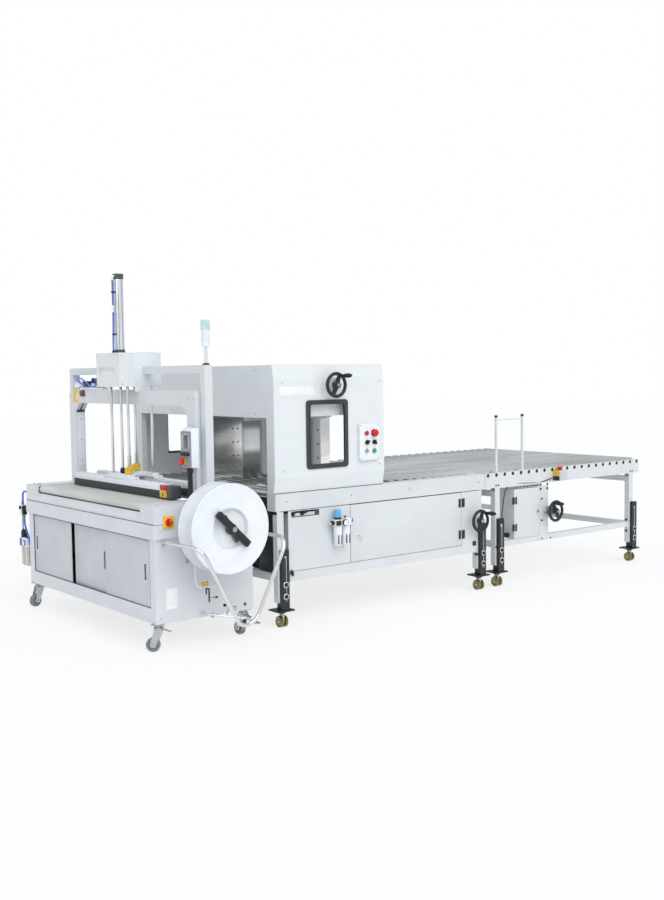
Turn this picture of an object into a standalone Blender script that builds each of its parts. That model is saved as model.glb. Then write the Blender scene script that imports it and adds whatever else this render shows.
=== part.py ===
"""In-line bundle strapping machine: strapper, squaring gate and roller table."""
import math

import bmesh
import bpy
from mathutils import Matrix, Vector

# The line runs along +X and an operator stands at -Y. Lengths are metres, and z = 0 is the floor.
# LINE_CENTRE moves the whole line so that the origin is under the middle of its footprint.
LINE_CENTRE = Vector((4.7335, 5.56625, 0.0))

GAP = 0.0003            # clearance between neighbouring solids
SHEET = 0.004           # folded sheet steel
ROUND = 16              # sides of small round pieces

# Strapper cabinet, its top tray and the side boxes that carry the belt
CABINET_LOW = Vector((2.700, 4.870, 0.150))
CABINET_HIGH = Vector((3.300, 6.450, 0.600))
TRAY_LIP = 0.012
TRAY_BOTTOM = 0.590
TRAY_TOP = 0.665
SIDE_BOX_TOP = 0.763
SIDE_BOX_WIDTH = 0.145
DOORWAY_LOW = Vector((2.690, 4.923, 0.227))
DOORWAY_HIGH = Vector((2.704, 6.386, 0.583))
BELT_TOP = 0.760
BELT_FRONT = 2.712
BELT_BACK = 2.978
ARCH_X = 2.985
ARCH_DEPTH = 0.060
MACHINE_MIDDLE = 5.660

# Gantry and press
GANTRY_X = 3.013
GANTRY_TOP = 1.478
POST_DEPTH = 0.047
POST_WIDTH = 0.045
ARCH_TOP = 1.345
ARCH_INNER_TOP = 1.263
HEAD_LOW = Vector((2.865, 5.520, 1.365))
HEAD_HIGH = Vector((3.130, 5.800, 1.555))
CYLINDER_TOP = 2.009
PISTON_ROD_TOP = 1.575      # just inside the cylinder when the press is down
GUIDE_ROD_RADIUS = 0.008
GUIDE_ROD_SPREAD = 0.100
FRONT_ROD_X = 2.935
BACK_ROD_X = 3.087
PISTON_X = 2.9445
PRESS_BAR_HALF = 0.572
PRESS_BAR_BOTTOM = 0.764
PRESS_BAR_TOP = 0.840

# Strap reel on the operator's side
REEL_CENTRE = Vector((3.003, 4.684, 0.643))
REEL_RADIUS = 0.233
REEL_HALF_WIDTH = 0.066
REEL_DRUM = 0.108
BUTTON_HOLE = 0.009
EMERGENCY_RADIUS = 0.0195
PENDANT_STOP = (2.920, 4.927, 0.976)
TABLE_STOP = (5.863, 4.866, 0.738)

# Squaring gate and its roller bed
GATE_FRAME_LOW = Vector((3.480, 4.898, 0.660))
GATE_FRAME_HIGH = Vector((5.151, 6.495, 0.757))
GATE_LOW_X = 3.480
GATE_HIGH_X = 4.284
GATE_BRIDGE_BOTTOM = 1.181
GATE_TOP = 1.478
COVER_DEPTH = 0.045
WINDOW_LOW = (3.715, 0.897)
WINDOW_HIGH = (3.990, 1.262)
GUIDE_OFFSET = 0.280

# Roller table
TABLE_LOW = Vector((5.1555, 4.898, 0.660))
TABLE_HIGH = Vector((6.800, 6.495, 0.757))
ROLLER_RADIUS = 0.025
ROLLER_PITCH = 0.0795
ROLLER_Z = 0.745
BEAM_WIDTH = 0.044
GATE_BEAM_WIDTH = 0.080

LEG_WIDTH = 0.045
LEG_DEPTH = 0.040
FOOT_SHIFT = 0.040
GATE_LEGS = (3.490, 5.078)
TABLE_LEGS = (5.251, 6.688)
LEG_BOTTOM = 0.145
FOOT_PLATE_Z = 0.094
LEG_WHEEL_RADIUS = 0.033
CASTER_RADIUS = 0.0375
RIM_MIDDLE = 0.065          # of the handwheels, whose outer radius is 75 mm
RIM_THICKNESS = 0.010
SHAFT_BORE = 0.0104
HEIGHT_WHEEL = Vector((5.050, 4.838, 0.467))

PAINT = ((0.60, 0.64, 0.68), 0.45, 0.0)
WHITE = ((0.83, 0.85, 0.87), 0.45, 0.0)
STEEL = ((0.62, 0.62, 0.60), 0.28, 1.0)
CHROME = ((0.75, 0.75, 0.76), 0.15, 1.0)
ALUMINIUM = ((0.80, 0.81, 0.83), 0.30, 1.0)
BLACK = ((0.03, 0.03, 0.03), 0.50, 0.0)
GREY_RUBBER = ((0.30, 0.31, 0.32), 0.60, 0.0)
BELT_CREAM = ((0.78, 0.76, 0.70), 0.60, 0.0)
BRASS = ((0.52, 0.42, 0.22), 0.35, 1.0)
RED = ((0.70, 0.04, 0.03), 0.40, 0.0)
GREEN = ((0.10, 0.50, 0.25), 0.40, 0.0)


def clear_scene():
    for item in list(bpy.data.objects):
        bpy.data.objects.remove(item, do_unlink=True)


# Shapes: each function returns a bmesh in the line's own coordinates

def box(x0, x1, y0, y1, z0, z1):
    shape = bmesh.new()
    bmesh.ops.create_cube(shape, size=1.0)
    bmesh.ops.scale(shape, vec=(x1 - x0, y1 - y0, z1 - z0), verts=shape.verts)
    middle = ((x0 + x1) / 2, (y0 + y1) / 2, (z0 + z1) / 2)
    bmesh.ops.translate(shape, vec=middle, verts=shape.verts)
    return shape


def box_between(low, high):
    return box(low[0], high[0], low[1], high[1], low[2], high[2])


def round_bar(start, end, radius, sides=ROUND):
    start = Vector(start)
    end = Vector(end)
    along = end - start
    shape = bmesh.new()
    turn = Vector((0, 0, 1)).rotation_difference(along).to_matrix().to_4x4()
    place = Matrix.Translation((start + end) / 2) @ turn
    bmesh.ops.create_cone(shape, cap_ends=True, segments=sides, radius1=radius, radius2=radius,
                          depth=along.length, matrix=place)
    return shape


def turned(profile, centre, axis, sides=ROUND):
    """Turn a closed outline of (radius, distance along the axis) points about the axis."""
    turn = Vector((0, 0, 1)).rotation_difference(Vector(axis)).to_matrix().to_4x4()
    place = Matrix.Translation(Vector(centre)) @ turn
    shape = bmesh.new()
    rings = []
    for radius, height in profile:
        if radius < 1e-6:
            rings.append([shape.verts.new(place @ Vector((0, 0, height)))])
            continue
        ring = []
        for step in range(sides):
            angle = 2 * math.pi * step / sides
            spot = Vector((radius * math.cos(angle), radius * math.sin(angle), height))
            ring.append(shape.verts.new(place @ spot))
        rings.append(ring)
    for first, second in zip(rings, rings[1:] + rings[:1]):
        for step in range(sides):
            after = (step + 1) % sides
            if len(first) == 1 and len(second) == 1:
                continue
            if len(first) == 1:
                shape.faces.new((first[0], second[after], second[step]))
            elif len(second) == 1:
                shape.faces.new((first[step], first[after], second[0]))
            else:
                shape.faces.new((first[step], first[after], second[after], second[step]))
    bmesh.ops.recalc_face_normals(shape, faces=shape.faces)
    return shape


def slab(outline, axis, low, high):
    """Extrude a flat outline along one axis; the outline's two numbers are the other two axes."""
    shape = bmesh.new()
    corners = []
    for first, second in outline:
        spot = [first, second]
        spot.insert(axis, low)
        corners.append(shape.verts.new(spot))
    face = shape.faces.new(corners)
    made = bmesh.ops.extrude_face_region(shape, geom=[face])
    moved = [item for item in made["geom"] if isinstance(item, bmesh.types.BMVert)]
    shift = Vector((0, 0, 0))
    shift[axis] = high - low
    bmesh.ops.translate(shape, vec=shift, verts=moved)
    bmesh.ops.recalc_face_normals(shape, faces=shape.faces)
    return shape


def arc(centre, radius, first, last, steps):
    points = []
    for step in range(steps + 1):
        angle = math.radians(first + (last - first) * step / steps)
        points.append((centre[0] + radius * math.cos(angle), centre[1] + radius * math.sin(angle)))
    return points


def tube_along(points, radius, sides=12):
    """Sweep a round section along a list of points."""
    points = [Vector(point) for point in points]
    shape = bmesh.new()
    rings = []
    side = None
    for index, point in enumerate(points):
        before = points[max(index - 1, 0)]
        after = points[min(index + 1, len(points) - 1)]
        along = (after - before).normalized()
        if side is None:
            side = along.orthogonal().normalized()
        side = (side - along * side.dot(along)).normalized()
        other = along.cross(side)
        ring = []
        for step in range(sides):
            angle = 2 * math.pi * step / sides
            offset = side * math.cos(angle) + other * math.sin(angle)
            ring.append(shape.verts.new(point + offset * radius))
        rings.append(ring)
    for first, second in zip(rings, rings[1:]):
        for step in range(sides):
            after = (step + 1) % sides
            shape.faces.new((first[step], first[after], second[after], second[step]))
    shape.faces.new(list(reversed(rings[0])))
    shape.faces.new(rings[-1])
    bmesh.ops.recalc_face_normals(shape, faces=shape.faces)
    return shape


def rounded_route(corners, radius, steps=4):
    """Replace each inner corner of a route by a short curve."""
    corners = [Vector(corner) for corner in corners]
    route = [corners[0]]
    for before, corner, after in zip(corners, corners[1:], corners[2:]):
        reach = min(radius, (before - corner).length / 2.2, (after - corner).length / 2.2)
        start = corner + (before - corner).normalized() * reach
        end = corner + (after - corner).normalized() * reach
        for step in range(steps + 1):
            t = step / steps
            route.append(start * (1 - t) ** 2 + corner * 2 * t * (1 - t) + end * t ** 2)
    route.append(corners[-1])
    return route


# Objects: shapes are united, cut and given a material

def hold(shape, name):
    mesh = bpy.data.meshes.new(name)
    shape.to_mesh(mesh)
    shape.free()
    item = bpy.data.objects.new(name, mesh)
    bpy.context.scene.collection.objects.link(item)
    return item


def material_for(name, look):
    colour, roughness, metallic = look
    material = bpy.data.materials.new(name)
    material.use_nodes = True
    surface = material.node_tree.nodes["Principled BSDF"]
    surface.inputs["Base Color"].default_value = (*colour, 1.0)
    surface.inputs["Roughness"].default_value = roughness
    surface.inputs["Metallic"].default_value = metallic
    material.diffuse_color = (*colour, 1.0)
    return material


def make(name, look, adds, cuts=(), origin=(0, 0, 0)):
    """Unite the first shape with the others, take the cuts away, and set the object's origin."""
    item = hold(adds[0], name)
    tools = []
    for kind, shapes in (("UNION", adds[1:]), ("DIFFERENCE", cuts)):
        for shape in shapes:
            tool = hold(shape, name + "_tool")
            tools.append(tool)
            modifier = item.modifiers.new("shape", "BOOLEAN")
            modifier.operation = kind
            modifier.solver = "EXACT"
            modifier.object = tool
    if tools:
        graph = bpy.context.evaluated_depsgraph_get()
        mesh = bpy.data.meshes.new_from_object(item.evaluated_get(graph))
        old = item.data
        item.modifiers.clear()
        item.data = mesh
        bpy.data.meshes.remove(old)
        for tool in tools:
            bpy.data.objects.remove(tool, do_unlink=True)
    origin = Vector(origin)
    item.data.transform(Matrix.Translation(-origin))
    item.location = origin - LINE_CENTRE
    item.data.materials.clear()
    item.data.materials.append(material_for(name, look))
    item.data.shade_smooth()
    item.data.set_sharp_from_angle(angle=math.radians(35))
    return item


# Strapper

def strapper_cabinet():
    low = CABINET_LOW
    high = CABINET_HIGH
    tray_low = Vector((low.x - TRAY_LIP, low.y - TRAY_LIP, TRAY_BOTTOM))
    tray_high = Vector((high.x + TRAY_LIP, high.y + TRAY_LIP, TRAY_TOP))
    near_box = (tray_low.y, tray_low.y + SIDE_BOX_WIDTH)
    far_box = (tray_high.y - SIDE_BOX_WIDTH, tray_high.y)
    box_front = low.x - 0.006
    box_back = high.x
    adds = [box_between(low, high), box_between(tray_low, tray_high)]
    cuts = []
    for near, far in (near_box, far_box):
        adds.append(box(box_front, box_back, near, far, TRAY_TOP - 0.01, SIDE_BOX_TOP))
        cuts.append(box(box_front + SHEET, box_back - SHEET, near + SHEET, far - SHEET,
                        TRAY_TOP - SHEET - 0.001, SIDE_BOX_TOP - SHEET))
    # the belt's slider bed, the sloped apron below the belt's nose, and the fixed deck behind the arch
    adds.append(box(BELT_FRONT + 0.045, BELT_BACK - 0.045, near_box[1] - 0.002, far_box[0] + 0.002,
                    BELT_TOP - 0.020, BELT_TOP - 0.010))
    adds.append(slab([(box_front, TRAY_TOP - 0.005), (box_front, TRAY_TOP + 0.019), (BELT_FRONT + 0.006, 0.716),
                      (BELT_FRONT + 0.009, 0.713), (box_front + 0.004, TRAY_TOP + 0.015),
                      (box_front + 0.004, TRAY_TOP - 0.005)], 1, near_box[1] - 0.002, far_box[0] + 0.002))
    adds.append(box(ARCH_X + ARCH_DEPTH + 0.070, box_back - 0.010, near_box[1] - 0.002,
                    far_box[0] + 0.002, BELT_TOP - 0.012, BELT_TOP - 0.004))
    # the reel's spindle and its bearing plate
    reel = REEL_CENTRE
    adds.append(round_bar((reel.x, tray_low.y - 0.001, reel.z), (reel.x, reel.y - 0.038, reel.z), 0.020))
    adds.append(round_bar((reel.x, tray_low.y + 0.004, reel.z), (reel.x, tray_low.y - 0.014, reel.z), 0.055))
    # the electrical switch's square plate
    adds.append(box(2.742, 2.806, tray_low.y - 0.008, tray_low.y + 0.002, 0.644, 0.708))
    # hollow inside, open to the doorway, with a slot in the deck for the sealing head
    inner = SHEET
    cuts.append(box(low.x + inner, high.x - inner, low.y + inner, high.y - inner,
                    low.z + inner, TRAY_TOP - inner))
    cuts.append(box_between(DOORWAY_LOW, DOORWAY_HIGH))
    cuts.append(box(ARCH_X - 0.020, ARCH_X + ARCH_DEPTH + 0.020, MACHINE_MIDDLE - 0.160,
                    MACHINE_MIDDLE + 0.160, TRAY_TOP - 0.02, TRAY_TOP + 0.02))
    make("strapper_cabinet", PAINT, adds, cuts)


def sliding_doors():
    """Three doors: the outer pair in the front track, the middle one in the track behind it."""
    low_z = DOORWAY_LOW.z + 0.004
    high_z = DOORWAY_HIGH.z - 0.004
    front = CABINET_LOW.x + SHEET + GAP
    doors = (("right_sliding_door", 4.900, 5.430, 4.977, front),
             ("left_sliding_door", 5.862, 6.410, 6.343, front),
             ("middle_sliding_door", 5.405, 5.834, 5.452, front + 0.010))
    for name, near, far, pull, depth in doors:
        panel = box(depth, depth + 0.006, near, far, low_z - 0.016, high_z + 0.016)
        slot = box(depth - 0.01, depth + 0.004, pull - 0.012, pull + 0.012, 0.370, 0.450)
        make(name, PAINT, [panel], [slot], origin=(depth, (near + far) / 2, (low_z + high_z) / 2))


def conveyor_belt():
    """An endless belt round two rollers, as a flattened ring."""
    radius = 0.020
    near = 5.0165
    far = 6.3035
    middle = BELT_TOP - radius
    rings = []
    for size in (radius, radius - 0.003):
        ring = arc((BELT_BACK - radius, middle), size, -90, 90, 8)
        ring += arc((BELT_FRONT + radius, middle), size, 90, 270, 8)
        rings.append(ring)
    outer = slab(rings[0], 1, near, far)
    inner = slab(rings[1], 1, near - 0.01, far + 0.01)
    make("conveyor_belt", BELT_CREAM, [outer], [inner])


def sealing_head():
    """The strap feeding and sealing unit that hangs in the cabinet under the arch."""
    x = ARCH_X + ARCH_DEPTH / 2
    y = MACHINE_MIDDLE
    adds = [box(x - 0.110, x + 0.110, y - 0.150, y + 0.150, 0.360, 0.600),
            box(x - 0.045, x + 0.045, y - 0.140, y + 0.140, 0.590, 0.700),
            box(x - 0.028, x + 0.028, y - 0.120, y + 0.120, 0.690, BELT_TOP - 0.002),
            round_bar((x, y - 0.100, 0.300), (x, y - 0.100, 0.365), 0.060),
            round_bar((x - 0.105, y - 0.060, 0.480), (x - 0.150, y - 0.060, 0.480), 0.070),
            round_bar((x + 0.105, y + 0.060, 0.460), (x + 0.190, y + 0.060, 0.460), 0.045)]
    make("sealing_head", STEEL, adds)


def gantry_frame():
    near = CABINET_LOW.y - TRAY_LIP
    far = CABINET_HIGH.y + TRAY_LIP + 0.016
    bottom = SIDE_BOX_TOP + GAP
    x0 = GANTRY_X
    x1 = GANTRY_X + POST_DEPTH
    beam_bottom = GANTRY_TOP - 0.042
    adds = [box(x0, x1, near, far, beam_bottom, GANTRY_TOP),
            box(x0, x1, near, near + POST_WIDTH, bottom, GANTRY_TOP - 0.002),
            box(x0, x1, far - POST_WIDTH, far, bottom, GANTRY_TOP - 0.002)]
    inner = 0.004
    cuts = [box(x0 + inner, x1 - inner, near + inner, near + POST_WIDTH - inner, bottom - 0.01,
                GANTRY_TOP - inner),
            box(x0 + inner, x1 - inner, far - POST_WIDTH + inner, far - inner, bottom - 0.01,
                GANTRY_TOP - inner),
            box(x0 + inner, x1 - inner, near + inner, far - inner, beam_bottom + inner,
                GANTRY_TOP - inner)]
    make("gantry_frame", PAINT, adds, cuts)


def strap_arch():
    near = 4.9105
    far = 6.4305
    leg = 0.088
    bottom = SIDE_BOX_TOP + GAP
    corner = 0.035
    chamfer = 0.050
    outline = [(near, bottom)]
    outline += arc((near + corner, ARCH_TOP - corner), corner, 180, 90, 5)
    outline += arc((far - corner, ARCH_TOP - corner), corner, 90, 0, 5)
    outline += [(far, bottom), (far - leg, bottom), (far - leg, ARCH_INNER_TOP - chamfer),
                (far - leg - chamfer, ARCH_INNER_TOP), (near + leg + chamfer, ARCH_INNER_TOP),
                (near + leg, ARCH_INNER_TOP - chamfer), (near + leg, bottom)]
    body = slab(outline, 0, ARCH_X, ARCH_X + ARCH_DEPTH)
    # the strap track: a narrow groove round the inside of the arch
    deep = 0.025
    track = slab([(near + leg - deep, bottom - 0.01), (near + leg - deep, ARCH_INNER_TOP - chamfer + 0.010),
                  (near + leg + chamfer - 0.010, ARCH_INNER_TOP + deep),
                  (far - leg - chamfer + 0.010, ARCH_INNER_TOP + deep),
                  (far - leg + deep, ARCH_INNER_TOP - chamfer + 0.010), (far - leg + deep, bottom - 0.01)],
                 0, ARCH_X + 0.022, ARCH_X + 0.038)
    make("strap_arch", PAINT, [body], [track])


def rod_places():
    places = []
    for x in (FRONT_ROD_X, BACK_ROD_X):
        for side in (-1, 1):
            places.append((x, MACHINE_MIDDLE + side * GUIDE_ROD_SPREAD))
    return places


def head_box():
    low = HEAD_LOW
    high = HEAD_HIGH
    shell = box_between(low, high)
    cuts = [box(low.x + SHEET, high.x - SHEET, low.y + SHEET, high.y - SHEET, low.z - 0.01, high.z - SHEET),
            box(GANTRY_X - GAP, GANTRY_X + POST_DEPTH + GAP, low.y - 0.01, high.y + 0.01,
                GANTRY_TOP - 0.042 - GAP, GANTRY_TOP + GAP)]
    for x, y in rod_places():
        cuts.append(round_bar((x, y, high.z - 0.01), (x, y, high.z + 0.01), GUIDE_ROD_RADIUS + 0.002, 16))
    cuts.append(round_bar((PISTON_X, MACHINE_MIDDLE, high.z - 0.01), (PISTON_X, MACHINE_MIDDLE, high.z + 0.01),
                          GUIDE_ROD_RADIUS + 0.002, 16))
    make("head_box", PAINT, [shell], cuts)


def press_cylinder():
    half = 0.0225
    x = PISTON_X
    y = MACHINE_MIDDLE
    bottom = HEAD_HIGH.z + GAP
    adds = [box(x - half, x + half, y - half, y + half, bottom, CYLINDER_TOP - 0.030),
            box(x - half - 0.002, x + half + 0.002, y - half - 0.002, y + half + 0.002,
                CYLINDER_TOP - 0.031, CYLINDER_TOP),
            round_bar((x - half - 0.001, y, CYLINDER_TOP - 0.014),
                      (x - half - 0.020, y, CYLINDER_TOP - 0.014), 0.007, 16)]
    bore = round_bar((x, y, bottom - 0.01), (x, y, CYLINDER_TOP - 0.040), GUIDE_ROD_RADIUS + 0.002, 16)
    make("press_cylinder", ALUMINIUM, adds, [bore])


def press_yoke():
    """Two cross plates tied through the arch, with the guide rods and the piston rod."""
    y = MACHINE_MIDDLE
    low = PRESS_BAR_TOP + GAP
    high = low + 0.025
    adds = [box(FRONT_ROD_X - 0.030, FRONT_ROD_X + 0.030, y - 0.160, y + 0.160, low, high),
            box(BACK_ROD_X - 0.030, BACK_ROD_X + 0.030, y - 0.160, y + 0.160, low, high),
            box(FRONT_ROD_X, BACK_ROD_X, y - 0.040, y + 0.040, low + 0.002, high - 0.002)]
    for x, rod_y in rod_places():
        adds.append(round_bar((x, rod_y, high - 0.005), (x, rod_y, HEAD_HIGH.z - 0.020), GUIDE_ROD_RADIUS, 16))
    for x, rod_y in (rod_places()[0], rod_places()[3]):
        adds.append(round_bar((x, rod_y, high - 0.001), (x, rod_y, high + 0.045), 0.020, 16))
    adds.append(round_bar((PISTON_X, y, high - 0.005), (PISTON_X, y, PISTON_ROD_TOP), GUIDE_ROD_RADIUS, 16))
    adds.append(round_bar((PISTON_X, y, high - 0.001), (PISTON_X, y, high + 0.035), 0.014, 16))
    make("press_yoke", STEEL, adds, origin=(PISTON_X, y, low))


def press_bars():
    """A steel channel over a dark pressing strip; the front bar carries the safety switch block."""
    y = MACHINE_MIDDLE
    for name, x in (("front_press_bar", FRONT_ROD_X), ("back_press_bar", BACK_ROD_X)):
        half = 0.028
        near = y - PRESS_BAR_HALF
        far = y + PRESS_BAR_HALF
        adds = [box(x - half, x + half, near, far, PRESS_BAR_BOTTOM, PRESS_BAR_TOP)]
        cuts = [box(x - half + SHEET, x + half - SHEET, near - 0.01, far + 0.01,
                    PRESS_BAR_BOTTOM - 0.01, PRESS_BAR_TOP - 0.028)]
        if name.startswith("front"):
            adds.append(box(x - half - 0.006, x + half, near - 0.050, near + 0.001,
                            PRESS_BAR_BOTTOM + 0.002, PRESS_BAR_TOP - 0.004))
        make(name, GREY_RUBBER, adds, cuts, origin=(x, y, PRESS_BAR_BOTTOM))


def hmi_box():
    adds = [slab([(2.920, 0.944), (2.975, 0.941), (2.975, 1.151), (2.945, 1.151), (2.920, 1.136)], 1,
                 4.865, 4.961),
            round_bar((2.950, 4.920, SIDE_BOX_TOP + GAP), (2.950, 4.920, 0.946), 0.013, 16),
            round_bar((2.950, 4.920, SIDE_BOX_TOP + GAP), (2.950, 4.920, SIDE_BOX_TOP + 0.012), 0.026, 16)]
    hole = button_hole(PENDANT_STOP, (-1, 0, 0), EMERGENCY_RADIUS, True)
    make("control_pendant", PAINT, adds, [hole])


def button_hole(face, outward, radius, collar):
    """The hole in a panel that a button's stem slides into."""
    outward = Vector(outward)
    stem = radius * 0.6 if collar else radius
    face = Vector(face)
    return round_bar(face + outward * 0.01, face - outward * BUTTON_HOLE, stem + 0.0005, 12)


def pushed_button(name, look, face, outward, radius, height, collar=False, sides=12):
    """A round push button: a stem, and a wider mushroom head when it has a collar."""
    outward = Vector(outward)
    stem = radius * 0.6 if collar else radius
    profile = [(0, 0), (stem, 0), (stem, height * 0.45), (radius, height * 0.5),
               (radius, height * 0.85), (radius * 0.8, height), (0, height)]
    centre = Vector(face) + outward * GAP
    make(name, look, [turned(profile, centre, outward, sides)], origin=centre)


def signal_tower():
    x = 3.037
    y = 4.880
    base = GANTRY_TOP + GAP
    profile = [(0, 0), (0.020, 0), (0.020, 0.007), (0.0085, 0.009), (0.0085, 0.092), (0.021, 0.094),
               (0.021, 0.128), (0.0235, 0.130), (0.0245, 0.228), (0.021, 0.234), (0, 0.236)]
    make("signal_tower", WHITE, [turned(profile, (x, y, base), (0, 0, 1))])


def main_switch_knob():
    face = Vector((2.774, CABINET_LOW.y - TRAY_LIP - 0.008, 0.676))
    knob = turned([(0, 0), (0.021, 0), (0.021, 0.008), (0, 0.008)], face + Vector((0, -GAP, 0)), (0, -1, 0))
    grip = box(face.x - 0.005, face.x + 0.005, face.y - 0.024, face.y - 0.006, face.z - 0.018, face.z + 0.018)
    make("main_switch_knob", RED, [knob, grip], origin=face)


def strap_reel():
    half = REEL_HALF_WIDTH
    flange = 0.004
    bore = 0.0205
    recess = -half + 0.024
    profile = [(bore, recess), (REEL_DRUM - 0.005, recess), (REEL_DRUM - 0.005, -half), (REEL_RADIUS, -half),
               (REEL_RADIUS, -half + flange), (REEL_DRUM, -half + flange), (REEL_DRUM, half - flange),
               (REEL_RADIUS, half - flange), (REEL_RADIUS, half), (REEL_DRUM - 0.005, half),
               (REEL_DRUM - 0.005, recess + 0.006), (bore, recess + 0.006)]
    make("strap_reel", WHITE, [turned(profile, REEL_CENTRE, (0, 1, 0), 36)], origin=REEL_CENTRE)


def reel_clamp():
    """The black cross bar that locks the reel on its spindle."""
    x, y, z = REEL_CENTRE
    face = y - REEL_HALF_WIDTH
    boss = round_bar((x, face - 0.018, z), (x, face + 0.0235, z), 0.030)
    bars = []
    for length, wide, front, back, tilt in ((0.127, 0.019, 0.030, 0.008, 44), (0.080, 0.014, 0.006, -0.014, 58)):
        bar = box(-length, length, face - front, face - back, -wide, wide)
        turn = Matrix.Translation((x, 0, z)) @ Matrix.Rotation(math.radians(tilt), 4, "Y")
        bmesh.ops.transform(bar, matrix=turn, verts=bar.verts)
        bars.append(bar)
    make("reel_clamp", BLACK, [boss] + bars, origin=REEL_CENTRE)


def reel_guard():
    """A bent bumper tube that stands round the reel and comes back to the cabinet at both ends."""
    wall = CABINET_LOW.y - GAP
    corners = [(2.742, wall, 0.575), (2.748, 4.560, 0.582), (2.785, 4.528, 0.545), (2.985, 4.528, 0.168),
               (3.035, 4.528, 0.156), (3.092, 4.528, 0.185), (3.272, 4.532, 0.535), (3.286, 4.565, 0.580),
               (3.292, wall, 0.580)]
    make("reel_guard", CHROME, [tube_along(rounded_route(corners, 0.045, 3), 0.0105, 8)])


def strapper_air_unit():
    """Filter, regulator and lubricator on a bracket beyond the far side."""
    wall = CABINET_HIGH.y + GAP
    x = 2.722
    y = 6.560
    adds = [box(x - 0.004, x + 0.030, wall, y + 0.005, 0.395, 0.415),
            box(x - 0.028, x + 0.028, y - 0.055, y + 0.055, 0.350, 0.415),
            round_bar((x, y - 0.028, 0.235), (x, y - 0.028, 0.352), 0.021, 16),
            round_bar((x, y + 0.028, 0.235), (x, y + 0.028, 0.352), 0.021, 16),
            round_bar((x, y + 0.028, 0.414), (x, y + 0.028, 0.465), 0.018, 16),
            round_bar((x, y + 0.045, 0.410), (x, y + 0.045, 0.650), 0.006, 12),
            box(x - 0.018, x + 0.018, y + 0.015, y + 0.052, 0.560, 0.620),
            box(x - 0.004, x + 0.018, CABINET_HIGH.y + TRAY_LIP + GAP, y + 0.030, 0.596, 0.608)]
    make("strapper_air_unit", WHITE, adds)


def strapper_casters():
    """Swivel casters: the fork turns on the stem and the wheel turns on the fork's axle."""
    top = CABINET_LOW.z - GAP
    places = (("front_near", 2.732, 4.905, 140), ("front_far", 2.735, 6.415, 195),
              ("back_near", 3.262, 4.915, 95), ("back_far", 3.262, 6.415, 150))
    trail = 0.030
    radius = CASTER_RADIUS
    for name, x, y, heading in places:
        angle = math.radians(heading)
        turn = Matrix.Translation((x, y, 0)) @ Matrix.Rotation(angle, 4, "Z")
        adds = [box(-0.035, 0.035, -0.035, 0.035, top - 0.004, top),
                round_bar((0, 0, top - 0.030), (0, 0, top - 0.003), 0.022, 16),
                box(-0.024, trail + 0.016, -0.0230, 0.0230, top - 0.034, top - 0.028),
                box(trail - 0.018, trail + 0.014, -0.0240, -0.0190, radius - 0.010, top - 0.029),
                box(trail - 0.018, trail + 0.014, 0.0190, 0.0240, radius - 0.010, top - 0.029),
                round_bar((trail, -0.0225, radius), (trail, 0.0225, radius), 0.0050, 12),
                box(-0.060, -0.018, -0.012, 0.012, top - 0.0352, top - 0.0293)]
        for shape in adds:
            bmesh.ops.transform(shape, matrix=turn, verts=shape.verts)
        make("caster_fork_" + name, CHROME, adds, origin=(x, y, top))
        hub = turn @ Vector((trail, 0, radius))
        axle = turn.to_3x3() @ Vector((0, 1, 0))
        profile = [(0.0054, -0.015), (radius - 0.003, -0.015), (radius, -0.011), (radius, 0.011),
                   (radius - 0.003, 0.015), (0.0054, 0.015)]
        make("caster_wheel_" + name, GREY_RUBBER, [turned(profile, hub, axle, 20)], origin=hub)


# Legs and feet, shared by the gate's frame and the roller table

def leg_shapes(x, y, side):
    """A square leg with a slotted height channel on its face, a foot plate and the caster's stem."""
    leg = box(x, x + LEG_WIDTH, *sorted((y, y + LEG_DEPTH * side)), LEG_BOTTOM, 0.670)
    hollow = box(x + SHEET, x + LEG_WIDTH - SHEET, *sorted((y + SHEET * side, y + (LEG_DEPTH - SHEET) * side)),
                 LEG_BOTTOM - 0.01, 0.640)
    foot_x = x + FOOT_SHIFT
    foot_y = y + 0.025 * side
    channel = box(x + 0.014, x + 0.062, *sorted((y - 0.018 * side, y + 0.001 * side)), FOOT_PLATE_Z + 0.004, 0.440)
    slot = box(foot_x - 0.006, foot_x + 0.006, *sorted((y - 0.030 * side, y - 0.002 * side)), 0.150, 0.400)
    post = box(foot_x - 0.020, foot_x + 0.020, *sorted((y + 0.005 * side, y + 0.038 * side)), FOOT_PLATE_Z + 0.004,
               LEG_BOTTOM + 0.010)
    plate = box(foot_x - 0.055, foot_x + 0.055, foot_y - 0.050, foot_y + 0.050, FOOT_PLATE_Z, FOOT_PLATE_Z + 0.008)
    radius = LEG_WHEEL_RADIUS
    stem = box(foot_x - 0.0055, foot_x + 0.0055, foot_y - 0.016, foot_y + 0.016, radius - 0.012, FOOT_PLATE_Z + 0.001)
    eye = round_bar((foot_x - 0.02, foot_y, radius), (foot_x + 0.02, foot_y, radius), 0.0064, 16)
    return [leg, channel, post, plate, stem], [hollow, slot, eye], Vector((foot_x, foot_y, radius))


def leg_wheel(name, hub):
    radius = LEG_WHEEL_RADIUS
    profile = [(0, -0.024), (radius - 0.004, -0.024), (radius, -0.021), (radius, -0.009), (radius - 0.004, -0.0062),
               (0.0060, -0.0062), (0.0060, 0.0062), (radius - 0.004, 0.0062), (radius, 0.009), (radius, 0.021),
               (radius - 0.004, 0.024), (0, 0.024)]
    make(name, BRASS, [turned(profile, hub, (1, 0, 0), 14)], origin=hub)


def side_beams(low, high, width):
    """The two side beams of a roller frame, and the cuts that hollow them from below."""
    adds = []
    cuts = []
    for y0, y1 in ((low.y, low.y + width), (high.y - width, high.y)):
        adds.append(box(low.x, high.x, y0, y1, low.z, high.z))
        cuts.append(box(low.x + SHEET, high.x - SHEET, y0 + SHEET, y1 - SHEET, low.z - 0.02, high.z - SHEET))
    return adds, cuts


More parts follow.
